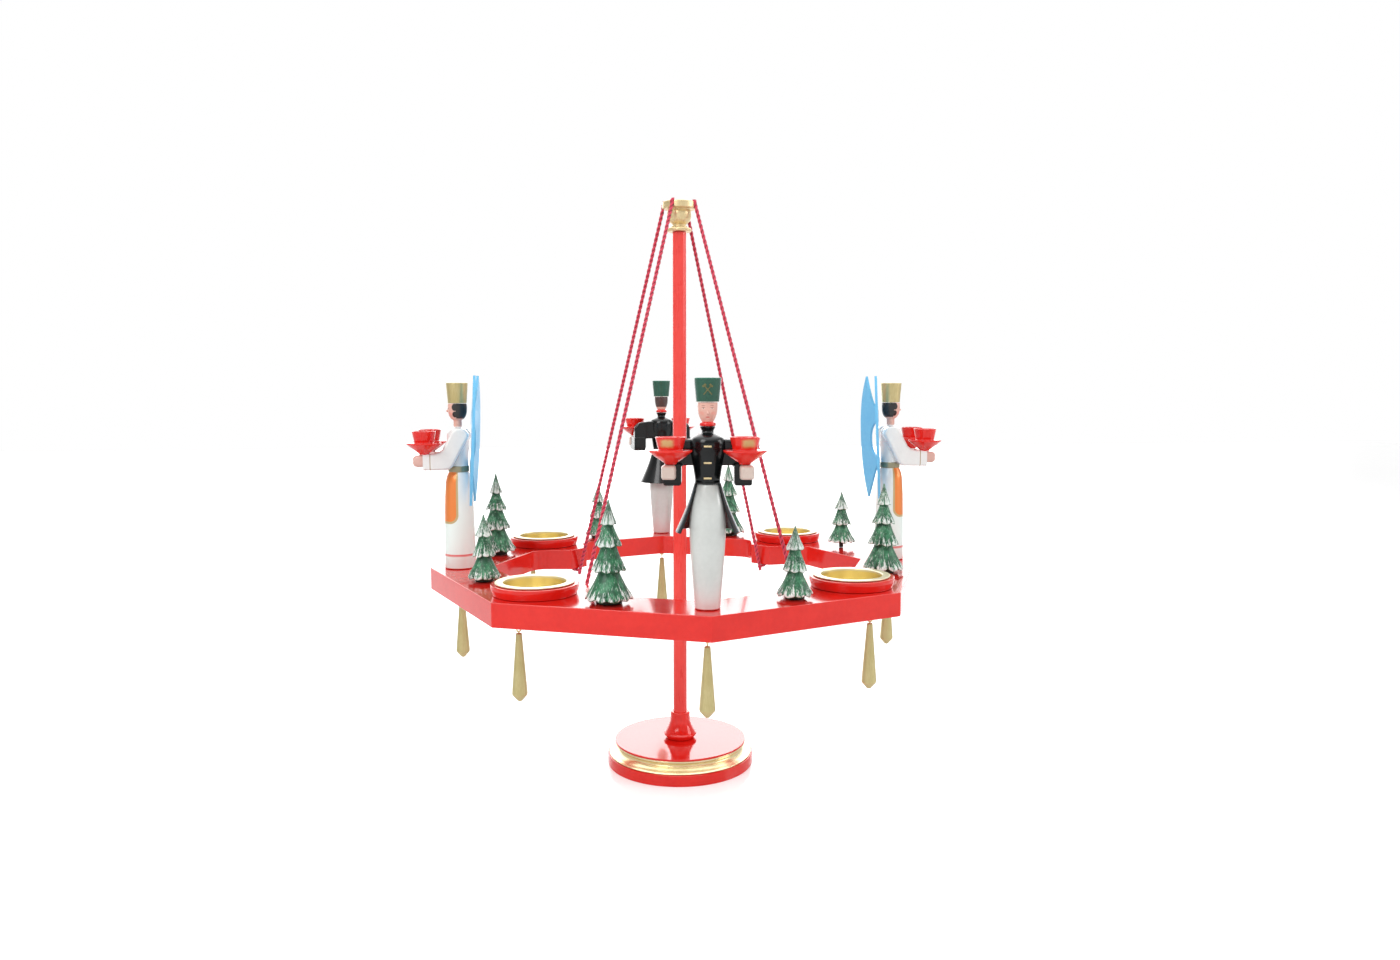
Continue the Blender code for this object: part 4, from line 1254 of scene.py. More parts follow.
@dataclass
class Tealights:
    """Four lacquered cups, each with a loose brass insert."""

    radius: float = 0.028
    taper: float = 0.0014
    rise: float = 0.007
    spigot: float = 0.0237
    bore: float = 0.0209
    floor: float = -0.0063
    insert_bore: float = 0.020
    insert_wall: float = 0.0006
    insert_floor: float = -0.0055
    flange_radius: float = 0.0252
    flange: float = 0.0008

    def cup(self) -> Piece:
        """One cup, counted from the ring's top."""
        return Bench.turned("cup", [
            (0, self.floor), (self.bore, self.floor, 0.0004), (self.bore, self.rise, 0.0004),
            (self.radius, self.rise, 0.0009), (self.radius - 0.0001, self.rise - 0.0022, 0.0006),
            (self.radius - self.taper * 0.75, 0.0016, 0.0004), (self.radius - self.taper, 0.0009, 0.0003),
            (self.radius - self.taper, GAP, 0.0003), (self.spigot, GAP), (self.spigot, -0.0083, 0.0003),
            (0, -0.0083)], 112)

    def insert(self) -> Piece:
        """One insert: a pressed bowl with a flat rolled rim, counted from the ring's top."""
        seat = self.rise + GAP
        outer = self.insert_bore + self.insert_wall
        return Bench.turned("insert", [
            (0, self.insert_floor + 0.0002), (self.insert_bore * 0.3, self.insert_floor, 0.002),
            (self.insert_bore, self.insert_floor, 0.0016), (self.insert_bore, seat + self.flange, 0.0009),
            (self.flange_radius, seat + self.flange, 0.0003), (self.flange_radius, seat, 0.0003),
            (outer, seat, 0.0002), (outer, self.insert_floor - self.insert_wall, 0.0016),
            (0, self.insert_floor - self.insert_wall)], 112, 4)

    def build(self) -> None:
        """Builds and dresses the four cups and inserts."""
        cup, insert = Bench.settle(self.cup()), Bench.settle(self.insert())
        rim = Mark(band(self.rise - 0.0006, 0.02, 0.0005), (0.80, 0.72, 0.50), 0.34, 0.55)
        for corner in Diagonal:
            label, place = corner.label, placed(around(TEALIGHT_PLACE, corner.angle, RING_TOP), corner.angle)
            RED.dress(Bench.copied(cup, f"tealight_holder_{label}", place), "hanging_ring", Slot.RED,
                      f"tealight_cup_{label}", place=place)
            BRASS.dress(Bench.copied(insert, f"tealight_lining_{label}", place), f"insert_{label}", Slot.BRASS,
                        f"tealight_insert_{label}", place=place, marks=[rim])
        Bench.discard(cup, insert)


# Cords


@dataclass
class Cords:
    """Four cords of two twisted strands, from their knots in the finial to the ring's noses."""

    radius: float = 0.00125
    knot: float = 0.0021
    twist: float = 0.0074
    bend: float = 0.0024
    anchor: float = 0.0042
    columns: int = 18
    rings_in_a_turn: int = 14
    finial: Finial = field(default_factory=Finial)
    ring: Ring = field(default_factory=Ring)

    def route(self, angle: float) -> list[Vector]:
        """The line that one cord follows, down from its knot.

        Args:
            angle: The angle of its nose.

        Returns:
            The line's points.
        """
        fit = self.radius + 1.5 * GAP
        crest, place = self.finial.crest, self.finial.cord_place
        rim = place + self.radius / 2
        low_place = self.ring.nose_reach - fit
        run = (low_place - rim) / (self.finial.disc_low - RING_BOTTOM)
        upper = [
            (self.finial.recess_radius - self.knot - GAP, self.finial.recess_floor + self.knot + GAP),
            (self.finial.recess_radius, crest - GAP / 2),
            (place - self.radius, crest),
            (place - self.radius * 0.3, crest - self.radius * 0.3),
            (place, crest - self.radius),
            (rim, self.finial.disc_low),
        ]
        lower = [(self.ring.nose_reach - fit * cos(tilt), RING_BOTTOM - fit * sin(tilt))
                 for tilt in (-atan(run), radians(25), radians(60), radians(90))]
        lower += [(self.ring.anchor_place - self.bend + self.bend * cos(tilt),
                   RING_BOTTOM - fit + self.bend - self.bend * sin(tilt))
                  for tilt in (radians(90), radians(45), 0)]
        lower.append((self.ring.anchor_place, RING_BOTTOM + self.anchor))
        route = [around(at, angle + self.finial.turn, height) for at, height in upper]
        tail = [around(at, angle, height) for at, height in lower]
        middle = [route[-1].lerp(tail[0], share) for share in (0.25, 0.5, 0.75)]
        return [*route, *middle, *tail]

    def cord(self, name: str, route: Sequence[Vector]) -> Piece:
        """One cord: a two-lobed section that turns as it follows the line.

        Args:
            name: The piece's name.
            route: The line's points.

        Returns:
            The cord.
        """
        length = sum((b - a).length for a, b in zip(route, route[1:]))
        count = round(length / self.twist * self.rings_in_a_turn)
        line = Bench.curved(route, count)
        rings: list[Section] = []
        tint: list[list[float]] = []
        side = (line[1] - line[0]).cross(Vector((0.3, 0.2, 1))).normalized()
        for i, spot in enumerate(line):
            way = (line[min(i + 1, count - 1)] - line[max(i - 1, 0)]).normalized()
            side = (side - way * side.dot(way)).normalized()
            up = way.cross(side)
            turn = 2 * pi * i / self.rings_in_a_turn
            end = min(i, count - 1 - i)
            share = (0.0, 0.7, 0.92)[end] if end < 3 else 1.0
            section, depth = [], []
            for k in range(self.columns):
                angle = 2 * pi * k / self.columns
                lobe = abs(cos(angle - turn)) ** 0.9
                reach = self.radius * share * (0.70 + 0.42 * lobe)
                section.append(spot + side * (reach * cos(angle)) + up * (reach * sin(angle)))
                # The lobe's size goes to the tint; the yarn paints shade where it is small.
                depth.append(lobe)
            rings.append(section)
            tint.append(depth)
        return Bench.lofted(name, rings, tint)

    def tie(self, name: str, spot: Vector) -> Piece:
        """The overhand knot that keeps a cord in the recess: three crossing turns of the cord.

        Args:
            name: The piece's name.
            spot: Its middle.

        Returns:
            The knot.
        """
        rings: list[Section] = []
        count, columns = 72, 12
        yarn = self.radius * 0.62
        size = (self.knot - yarn) / 1.5

        def at(turn: float) -> Vector:
            """A point of a trefoil."""
            return spot + Vector((
                (sin(turn) + 1.1 * sin(2 * turn)) * size * 0.6,
                (cos(turn) - 1.1 * cos(2 * turn)) * size * 0.6,
                -sin(3 * turn) * size * 0.7,
            ))

        for t in (2 * pi * i / count for i in range(count)):
            way = (at(t + 0.05) - at(t - 0.05)).normalized()
            side = way.cross(Vector((0, 0, 1))).normalized()
            up = way.cross(side)
            rings.append([at(t) + (side * cos(a) + up * sin(a)) * yarn
                          for a in (2 * pi * k / columns for k in range(columns))])
        rings.append([point.copy() for point in rings[0]])
        return Bench.lofted(name, rings)

    def build(self) -> None:
        for corner in Diagonal:
            route = self.route(corner.angle)
            cord = self.cord(f"twisted_cord_{corner.label}", route)
            knot = self.tie(f"cord_knot_{corner.label}", route[0])
            for piece, nodes in ((cord, [f"cord_{corner.label}"]), (knot, [])):
                Yarn().dress(Bench.settle(piece, angle=60))
                fitted(piece, "hanging_ring", Slot.CORD, *nodes)
            path = Bench.curved(route, 60)
            length = sum((b - a).length for a, b in zip(path, path[1:]))


# Drops and trees


@dataclass
class Drops:
    """Eight gilt drops, each hanging by a wire loop."""

    length: float = 0.0438

    def build(self) -> None:
        """Builds and dresses the drops."""
        loop = EYE_HEIGHT - 2 * EYE_RADIUS + 2 * WIRE_RADIUS + GAP
        top = loop - EYE_RADIUS - 2 * WIRE_RADIUS
        low = top - self.length
        wood = Bench.turned("drop_wood", [
            (0, top), (0.0017, top, 0.0004), (0.0019, top - 0.0006, 0.0004), (0.0049, low + 0.0052, 0.0007),
            (0.0046, low + 0.0042, 0.0006), (0.0013, low + 0.0004, 0.0005), (0, low)], 48)
        ring = Bench.wire_ring("drop_loop", (0, 0, loop), (0, pi / 2, 0))
        shank = Bench.turned("drop_shank", [
            (0, loop - EYE_RADIUS + 0.0002), (WIRE_RADIUS, loop - EYE_RADIUS), (WIRE_RADIUS, top - 0.0002),
            (0, top - 0.0002)], 16)
        Bench.joined(ring, shank)
        Bench.settle(wood)
        Bench.settle(ring)
        olive = replace(GILT, colour=(0.65, 0.565, 0.290), shade=(0.53, 0.445, 0.200), streak=(6, 6, 0.5), grain=420,
                        grain_strength=0.35)
        for k in range(CORNERS):
            angle = k * SIDE_ANGLE
            place = placed(around(DROP_PLACE, angle), angle)
            drop = Bench.copied(wood, f"gilt_drop_{k + 1}", place)
            olive.dress(drop, f"drop_{k + 1}", Slot.GILT, f"hanging_drop_{k + 1}", place=place)
            wire = Bench.copied(ring, f"drop_loop_{k + 1}", place)
            WIRE.dress(wire, f"drop_{k + 1}", Slot.GILT)
        Bench.discard(wood, ring)


@dataclass
class FirTree:
    """A carved fir: tiers with gouged hems, white at the tips."""

    height: float
    tiers: Sequence[Point]
    petals: Sequence[int]
    seed: int
    trunk: float = 0.0
    columns: int = 168
    rows: int = 18

    def build(self, name: str) -> Piece:
        """Carves the tree, counted from the ring's top.

        Args:
            name: The piece's name.

        Returns:
            The tree.
        """
        rng = random.Random(self.seed)
        rings: list[Section] = []
        tint: list[list[float]] = []

        def ring(radius: float, height: float, frost_and_shade: float) -> None:
            """A plain round section."""
            angles = [2 * pi * k / self.columns for k in range(self.columns)]
            rings.append([around(radius, a, height) for a in angles])
            tint.append([frost_and_shade] * self.columns)

        ring(0.0, self.height, 0.5)
        ring(0.00035, self.height - 0.0002, 0.5)
        tiers = sorted(self.tiers, reverse=True)
        neck_height, neck_radius = self.height - 0.0006, 0.00055
        top_frost = (0.36, 0.16, 0.06, 0.02)
        for index, ((hem, radius), petals) in enumerate(zip(tiers, self.petals)):
            widths = [rng.uniform(0.8, 1.25) for _ in range(petals)]
            edges = [0.0]
            for width in widths:
                edges.append(edges[-1] + width / sum(widths))
            depths = [rng.uniform(0.5, 1.15) for _ in range(petals)]
            snow = [rng.uniform(0.35, 1.0) for _ in range(petals)]
            drops = [rng.uniform(-0.0004, 0.0003) for _ in range(petals)]
            start, salt = rng.uniform(0, 1), rng.uniform(0, 40)
            notch = radius * 0.12
            for row in range(self.rows + 1):
                t = row / self.rows
                flare = t**1.22 - 0.05 * ramp(t, 0.92, 1.0)
                carve = ramp(t, 0.40, 1.0)
                section, frost_and_shade = [], []
                for k in range(self.columns):
                    angle = 2 * pi * k / self.columns
                    turn = (k / self.columns + start) % 1.0
                    petal = next(i for i in range(petals) if turn <= edges[i + 1])
                    local = (turn - edges[petal]) / (edges[petal + 1] - edges[petal])
                    from_edge = 2 * min(local, 1 - local)
                    near = petal if local < 0.5 else (petal + 1) % petals
                    groove = max(0.0, 1 - from_edge / 0.34) ** 1.2 * depths[near]
                    facet = from_edge - 0.5
                    rough = noise.noise(Vector((cos(angle) * 3 + salt, sin(angle) * 3, t * 3.0)))
                    fine = noise.noise(Vector((cos(angle) * 16 + salt, sin(angle) * 16, t * 2.0)))
                    base = neck_radius + (radius - neck_radius) * flare
                    reach = base * (1 + carve * (0.05 * facet - 0.09 * groove + 0.04 * rough)
                                    + 0.030 * fine * (0.3 + 0.7 * t))
                    lift = (notch * (1 - from_edge) ** 1.3 * depths[near] + drops[petal] * from_edge) * carve**1.6
                    height = neck_height + (hem - neck_height) * t + lift
                    section.append(around(reach, angle, height))
                    rim = ramp(1 - abs(from_edge - 0.45) * 1.5, 0.2, 0.9)
                    tip = ramp(t + 0.35 * fine + 0.25 * rough, 0.35, 1.05) * (0.45 + 0.55 * rim) * snow[petal]
                    tip += 0.40 * ramp(t, 0.84, 1.0) * snow[petal]
                    white = min(1.0, tip + top_frost[index] + 0.25 * max(0.0, fine))
                    # The gouges lower the value, so that the stain paints shade in them.
                    frost_and_shade.append(white - 0.85 * min(groove, 1.0) * carve)
                rings.append(section)
                tint.append(frost_and_shade)
            hemline = rings[-1]
            neck = radius * 0.58 if index + 1 < len(tiers) else self.trunk or radius * 0.54
            # Under each hem the values fall below zero: painted shade under the tier.
            for share, lower, dark in ((0.93, -0.0005, -0.1), (0.80, 0.0001, -0.6)):
                section = []
                for spot in hemline:
                    flat = Vector((spot.x, spot.y, 0))
                    flat = flat.normalized() * (neck + (flat.length - neck) * share) if flat.length > neck else flat
                    section.append(Vector((flat.x, flat.y, spot.z + lower)))
                rings.append(section)
                tint.append([dark] * self.columns)
            ring(neck * 1.02, hem + 0.0004, -0.8)
            neck_height, neck_radius = hem - 0.0004, neck
        # Painted shade down the trunk, under the lowest tier.
        ring(neck_radius, 0.0007, -0.9)
        ring(neck_radius * 0.98, GAP, -0.9)
        ring(0.0, GAP, -0.9)
        return Bench.lofted(name, rings, tint)


@dataclass
class Trees:
    """The eight trees, small and big by turns, in the middle of the ring's sides."""

    place: float = 0.150
    big_height: float = 0.0633
    big: Sequence[Point] = ((0.0031, 0.0148), (0.0205, 0.0107), (0.0355, 0.0083), (0.0485, 0.0050))
    small_height: float = 0.0455
    small: Sequence[Point] = ((0.0028, 0.0114), (0.0178, 0.0078), (0.0312, 0.0058))
    trunk_tree: int = 3
    trunk_lift: float = 0.0022

    def build(self) -> None:
        """Builds and dresses the trees."""
        for k in range(CORNERS):
            small = k % 2 == 0
            height, tiers = (self.small_height, self.small) if small else (self.big_height, self.big)
            petals = (6, 8, 9) if small else (6, 7, 9, 10)
            trunk = 0.0
            if k + 1 == self.trunk_tree:
                trunk = 0.0017
                tiers = [(level + self.trunk_lift * (1 - i / 3), radius) for i, (level, radius) in enumerate(tiers)]
            tree = FirTree(height, tiers, petals, seed=11 + 7 * k, trunk=trunk).build(f"carved_fir_{k + 1}")
            angle = (k + 0.5) * SIDE_ANGLE
            Bench.settle(tree, placed(around(self.place, angle, RING_TOP), angle), 60, flat=False)
            Stain().dress(tree)
            fitted(tree, "hanging_ring", Slot.FIR, f"fir_tree_{k + 1}")


# Figures


class Side(Enum):
    """A figure's own left and right; its left is towards +X of its frame."""

    LEFT = 1
    RIGHT = -1

    @property
    def label(self) -> str:
        """The side's name as the nodes write it."""
        return self.name.lower()


@dataclass
class CandleCup:
    """A lacquered cup on a saucer, counted from the underside of its knob."""

    rim: float = 0.0083
    foot: float = 0.0067
    height: float = 0.0082
    bore: float = 0.0072
    bore_depth: float = 0.0070
    saucer: float = 0.0121
    saucer_rim: float = 0.0009
    drop: float = 0.0082
    knob: float = 0.0035

    def build(self) -> Piece:
        """Turns the cup.

        Returns:
            The model for every hand.
        """
        dish = self.drop
        top = dish + self.height
        return Bench.settle(Bench.turned("cup_model", [
            (0, top - self.bore_depth), (self.bore * 0.8, top - self.bore_depth, 0.0008),
            (self.bore * 0.94, top - self.bore_depth * 0.5, 0.001), (self.rim - 0.0007, top, 0.0003),
            (self.rim, top, 0.0003), (self.foot, dish + 0.0002, 0.0004), (self.saucer - 0.0010, dish, 0.0004),
            (self.saucer, dish, 0.0004), (self.saucer, dish - self.saucer_rim, 0.0004),
            (self.saucer * 0.62 + self.knob * 0.38, dish * 0.56, 0.0012), (self.knob, 0.0007, 0.0006),
            (self.knob - 0.0002, 0, 0.0002), (0, 0)], 56))


@dataclass
class Figure:
    """What the miners and the angels share: a place on the ring, arms, hands and candle cups."""

    name: str
    angle: float
    turn: float
    cup_model: Piece
    reach: Point = (0.0212, -0.0160)
    hand_top: float = 0.0853

    @property
    def frame(self) -> Matrix:
        """The figure's own frame, standing on the ring and facing -Y."""
        return placed(around(FIGURE_PLACE, self.angle, RING_TOP), self.angle + self.turn)

    def put(self, obj: Piece, finish: Finish, slot: Slot, *nodes: str, marks: Sequence[Mark] = ()) -> None:
        """Places, dresses and fits one piece of the figure.

        Args:
            obj: The piece, in the figure's own frame.
            finish: Its finish.
            slot: Its material slot.
            nodes: The figure's nodes that it stands for, without the figure's name.
            marks: What is painted on it.
        """
        obj.name = f"{self.name}_{obj.name}"
        finish.dress(Bench.settle(obj, self.frame), "hanging_ring", slot, *[f"{self.name}_{node}" for node in nodes],
                     place=self.frame, marks=marks)

    def cups(self, marks: Callable[[Side], Sequence[Mark]]) -> None:
        """Puts a candle cup on each hand.

        Args:
            marks: What is painted on the cup of a side.
        """
        across, ahead = self.reach
        for side in Side:
            cup = Bench.copied(self.cup_model, f"{side.label}_cup",
                               Matrix.Translation((side.value * across, ahead, self.hand_top + GAP)))
            self.put(cup, RED, Slot.RED, f"{side.label}_candle_cup", marks=marks(side))

    @staticmethod
    def trimmed(sleeve: Piece, side: Side, body: Sequence[Point]) -> Piece:
        """A sleeve on its own side, with room left for the body.

        Args:
            sleeve: The left sleeve.
            side: The side that it goes to.
            body: The turned profile that is taken out of it.

        Returns:
            The sleeve.
        """
        sleeve.data.transform(Matrix.Scale(side.value, 4, (1, 0, 0)))
        Bench.tidy(sleeve, fill=False)
        return Bench.joined(sleeve, Bench.turned("clearance", body, 64), operation="DIFFERENCE")

    @staticmethod
    def nosed(face: Piece, path: Sequence[Corner], sizes: Sequence[Point]) -> Piece:
        """A face with a small nose along a path."""
        return Bench.joined(face, Bench.swept("nose", [Vector(spot) for spot in path], sizes))

    @staticmethod
    def hand(side: Side, size: Sequence[float], centre: Sequence[float], squareness: float) -> Piece:
        """A closed hand: a rounded fist with a thumb and three grooves between the fingers.

        Args:
            side: Which hand.
            size: Its width, depth and height.
            centre: Its middle.
            squareness: 2 makes it round, and more makes it squarer.

        Returns:
            The hand.
        """
        rows, columns = 15, 28
        groove_depth, groove_spacing = 0.00022, size[2] * 0.30
        rings: list[Section] = []
        for i in range(rows + 1):
            lay = pi * i / rows
            section = []
            for k in range(columns):
                turn = 2 * pi * k / columns
                c, s = cos(turn), sin(turn)
                reach = (abs(c) ** squareness + abs(s) ** squareness) ** (-1 / squareness)
                sweep = abs(sin(lay)) ** (1.7 / squareness)
                along = -cos(lay)
                x = size[0] / 2 * sweep * reach * c
                z = size[2] / 2 * sweep * reach * s
                groove = groove_depth * max(0.0, -along) * max(0.0, cos(2 * pi * (z / groove_spacing))) ** 6
                section.append(Vector((x, size[1] / 2 * along + groove, z)))
            rings.append(section)
        fist = Bench.lofted(f"{side.label}_hand", rings)
        thumb = Bench.swept("thumb", Bench.curved([
            Vector((-side.value * size[0] * 0.34, size[1] * 0.20, size[2] * 0.02)),
            Vector((-side.value * size[0] * 0.38, -size[1] * 0.12, size[2] * 0.14)),
            Vector((-side.value * size[0] * 0.32, -size[1] * 0.36, size[2] * 0.20)),
        ], 7), [(0.0012, 0.0014)] * 7)
        Bench.joined(fist, thumb)
        fist.data.transform(Matrix.Translation(Vector(centre)))
        return fist


@dataclass
class Miner(Figure):
    """A miner in a black coat, white trousers and a green shako, with a cup on each hand."""

    hand_top: float = 0.0866
    collar_top: float = 0.1080
    waist: float = 0.0750
    hem: float = 0.0460
    opening: float = radians(60)

    def trousers(self) -> Piece:
        """Both legs turned in one, with a carved line between them.

        Returns:
            The trousers.
        """
        obj = Bench.turned("trousers", [
            (0, 0.0744), (0.0064, 0.0744, 0.0003), (0.0069, 0.0736, 0.0006), (0.0077, 0.0706, 0.002),
            (0.0093, 0.0645, 0.004), (0.0106, 0.0560, 0.005), (0.0109, 0.0490, 0.006), (0.0102, 0.0330, 0.008),
            (0.0089, 0.0165, 0.007), (0.0079, 0.0040, 0.003), (0.0076, GAP, 0.0003), (0, GAP)], 128, 5)
        for vertex in obj.data.vertices:
            x, y, z = vertex.co
            reach = hypot(x, y)
            if reach < 0.002:
                continue
            groove = exp(-((x / 0.0009) ** 2)) * (1 - ramp(z, 0.010, 0.040)) * 0.00020
            vertex.co = Vector((x, y * (1 - groove / reach), z))
        return obj

    def coat(self) -> Piece:
        """The coat's turned body, from its standing collar to the waist."""
        return Bench.turned("coat", [
            (0, self.collar_top - 0.0006), (0.0036, self.collar_top - 0.0004, 0.0002),
            (0.0045, self.collar_top, 0.0002), (0.0044, 0.1073, 0.0005), (0.0033, 0.1052, 0.0008),
            (0.0038, 0.1043, 0.0008), (0.0066, 0.1031, 0.002), (0.0094, 0.1015, 0.0018), (0.0104, 0.0985, 0.0016),
            (0.0102, 0.0930, 0.003), (0.0085, 0.0838, 0.005), (0.0074, 0.0764, 0.002), (0.0077, 0.0752, 0.0004),
            (0.0074, 0.0745, 0.0003), (0, 0.0745)], 96, 5)

    def skirt(self) -> Piece:
        """The coat's flared tails, open in front.

        Returns:
            The tails.
        """
        outer = [(0.0078, self.waist + 0.0001), (0.0093, 0.0702), (0.0112, 0.0640), (0.0137, 0.0578),
                 (0.0166, 0.0512), (0.0190, self.hem)]
        wall = 0.0011
        return Bench.turned("skirt", [
            (outer[0][0] - wall * 0.6, outer[0][1] - 0.0002), *[(r, z, 0.003) for r, z in outer[:-1]],
            (*outer[-1], 0.0005), (outer[-1][0] - wall, self.hem, 0.0004),
            *[(r - wall, z, 0.003) for r, z in reversed(outer[1:-1])]],
            96, sweep=2 * pi - 2 * self.opening, start=self.opening)

    def arm(self, side: Side) -> Piece:
        """One sleeve with its open cuff.

        Args:
            side: Which arm.

        Returns:
            The sleeve.
        """
        across, ahead = self.reach
        top, low, inner, outer = self.hand_top - 0.0001, self.hand_top - 0.0122, across - 0.0060, across + 0.0043
        under = self.hand_top - 0.0014
        sleeve = Bench.sawn(f"{side.label}_sleeve", [
            (0.0066, top), (ahead - 0.002, top), (ahead - 0.002, low), (0.0046, low), (0.0066, low + 0.0020)],
            inner, outer, 0.0014)
        Bench.cuffed(sleeve, ahead + 0.0028)
        upper = Bench.sawn("upper_arm", [
            (-0.0050, 0.1005), (-0.0130, 0.1004), (-0.0215, 0.0992), (0.0004 - outer, 0.0955),
            (0.0004 - outer, low + 0.0040), (-inner - 0.0004, low + 0.0040), (-inner - 0.0002, under),
            (-0.0034, under - 0.0002)], -0.0029, 0.0062, 0.0018)
        upper.data.transform(Matrix.Rotation(pi / 2, 4, "Z"))
        Bench.joined(sleeve, upper)
        return self.trimmed(sleeve, side, [
            (0, 0.1085), (0.0048, 0.1085), (0.0036, 0.1046), (0.0067, 0.1032), (0.0095, 0.1016), (0.0106, 0.0985),
            (0.0104, 0.0930), (0.0086, 0.0838), (0.0077, 0.0764), (0.0076, 0.0748), (0.0193, 0.0459), (0, 0.0459)])

    def head(self) -> Piece:
        """The turned face with a small nose, above the neckcloth."""
        face = Bench.turned("face", [
            (0, 0.1219), (0.0058, 0.1219, 0.0002), (0.0059, 0.1195, 0.001), (0.0056, 0.1160, 0.004),
            (0.0046, 0.1128, 0.003), (0.0036, 0.1111, 0.001), (0.0034, 0.1106), (0, 0.1106)], 72, 5)
        return self.nosed(face, [(0, -0.0052, 0.1176), (0, -0.0057, 0.1164), (0, -0.0060, 0.1155)],
                          [(0.0003, 0.0003), (0.0006, 0.0006), (0.0008, 0.0007)])

    def neckcloth(self) -> Piece:
        """The red cloth between collar and chin."""
        return Bench.turned("neckcloth", [
            (0, 0.1107), (0.0038, 0.1107, 0.0004), (0.0047, 0.1099, 0.0008), (0.0049, 0.1090, 0.0006),
            (0.0046, self.collar_top + GAP / 2, 0.0003), (0, self.collar_top + GAP / 2)], 64, 4)

    def shako(self) -> Piece:
        """The tall felt-green hat with a slightly hollow crown."""
        return Bench.turned("shako", [
            (0, 0.1357), (0.0070, 0.1357, 0.0006), (0.0074, 0.1362, 0.0003), (0.0080, 0.1362, 0.0004),
            (0.0078, 0.1325, 0.002), (0.0073, 0.1280, 0.004), (0.0069, 0.1232, 0.001), (0.0069, 0.1222, 0.0003),
            (0, 0.1220)], 72, 4)

    def emblem(self) -> Piece:
        """Two crossed hammers in raised gold paint on the front of the shako.

        Returns:
            The emblem.
        """
        parts = []
        for tilt in (-1, 1):
            turn = Matrix.Rotation(radians(40) * tilt, 4, "Y")
            for size, height in (((0.00065, 0.0011, 0.0072), -0.0002), ((0.0024, 0.0011, 0.0012), 0.0031)):
                part = Bench.block("stroke", size, (0, 0, height), 0.00012, 2)
                part.data.transform(turn)
                parts.append(part)
        emblem = Bench.joined(*parts)
        emblem.data.transform(Matrix.Translation((0, 0, 0.1293)))
        for vertex in emblem.data.vertices:
            x, y, z = vertex.co
            surface = 0.0069 + 0.0011 * ramp(z, 0.1222, 0.1362) + 0.00003
            depth = 0.00018 if y < 0 else -0.0003
            vertex.co = Vector((x, -sqrt(max((surface + depth) ** 2 - x * x, 1e-9)), z))
        emblem.name = "emblem"
        return emblem

    def buttons(self) -> Piece:
        """Three gold bars down the front of the coat."""
        bars = Bench.joined(*[
            Bench.block("bar", (0.0046, 0.0009, 0.00105), (0, -radius, height), 0.00025)
            for height, radius in ((0.0967, 0.0101), (0.0871, 0.0091), (0.0781, 0.0079))])
        bars.name = "buttons"
        return bars

    def build(self) -> None:
        """Builds and dresses the miner."""
        # Painted reflection of the red ring: the trousers turn pink towards the foot.
        ring_reflection = Mark(band(-0.01, 0.010, 0.010), (0.72, 0.68, 0.66))
        sole = Mark(band(-0.01, 0.0009, 0.0003), (0.62, 0.02, 0.015))
        # A darker copy of the white lacquer: painted shade on the trousers.
        cloth = replace(WHITE, name="shaded_white", colour=(0.66, 0.69, 0.665), shade=(0.60, 0.63, 0.605))
        self.put(self.trousers(), cloth, Slot.WHITE, "trousers", marks=[ring_reflection, sole])
        self.put(self.coat(), BLACK, Slot.BLACK, "jacket")
        self.put(self.skirt(), BLACK, Slot.BLACK)
        face = [
            *pair((0.0036, -0.0044, 0.1157), (0.0014, 0.003, 0.0011), 0.9, (0.82, 0.38, 0.30)),
            *pair((0.0025, -0.0054, 0.1184), (0.00085, 0.003, 0.00040), 0.3, (0.84, 0.66, 0.58)),
            *pair((0.0025, -0.0054, 0.1185), (0.00034, 0.003, 0.00030), 0.3, (0.26, 0.13, 0.10)),
            *pair((0.0025, -0.0054, 0.1191), (0.0012, 0.003, 0.00018), 0.5, (0.34, 0.16, 0.12)),
            *pair((0.0025, -0.0054, 0.1201), (0.0012, 0.003, 0.00018), 0.5, (0.34, 0.16, 0.12)),
            Mark(dot((0, -0.0055, 0.1134), (0.0013, 0.003, 0.00035), 0.4), (0.62, 0.10, 0.08)),
            Mark(behind(-0.0004, 0.1130, 0.1300), (0.070, 0.032, 0.026)),
        ]
        self.put(self.head(), SKIN, Slot.GREEN, "head", marks=face)
        self.put(self.neckcloth(), RED, Slot.RED)
        edge = Mark(band(0.1218, 0.1224, 0.0001), (0.66, 0.60, 0.48), 0.4)
        # Painted highlight: a lighter green band round the shako's top edge.
        rim = Mark(band(0.1357, 0.1366, 0.0001), (0.05, 0.22, 0.15))
        self.put(self.shako(), GREEN, Slot.GREEN, marks=[edge, rim])
        dull = replace(GILT, name="dull_gold", colour=(0.26, 0.22, 0.085), shade=(0.11, 0.12, 0.05), metallic=0.4)
        self.put(self.emblem(), dull, Slot.GILT)
        self.put(self.buttons(), GILT, Slot.GILT)
        across, ahead = self.reach
        for side in Side:
            self.put(self.arm(side), BLACK, Slot.BLACK, f"{side.label}_arm")
            hand = self.hand(side, (0.0085, 0.0120, 0.0084),
                             (side.value * (across + 0.0011), ahead - 0.0008, self.hand_top - 0.0042), 7.0)
            self.put(hand, replace(SKIN, colour=(0.68, 0.56, 0.49), shade=(0.62, 0.49, 0.43)), Slot.WHITE)

        def touch(side: Side) -> list[Mark]:
            """A painted gold reflection on the front of a cup."""
            low = self.hand_top + 0.0103
            where = reflection_patch(side.value * (across + 0.0018), 0.0034, low, low + 0.0042, ahead)
            return [Mark(where, (0.62, 0.42, 0.17), 0.35, 0.3)]

        self.cups(touch)


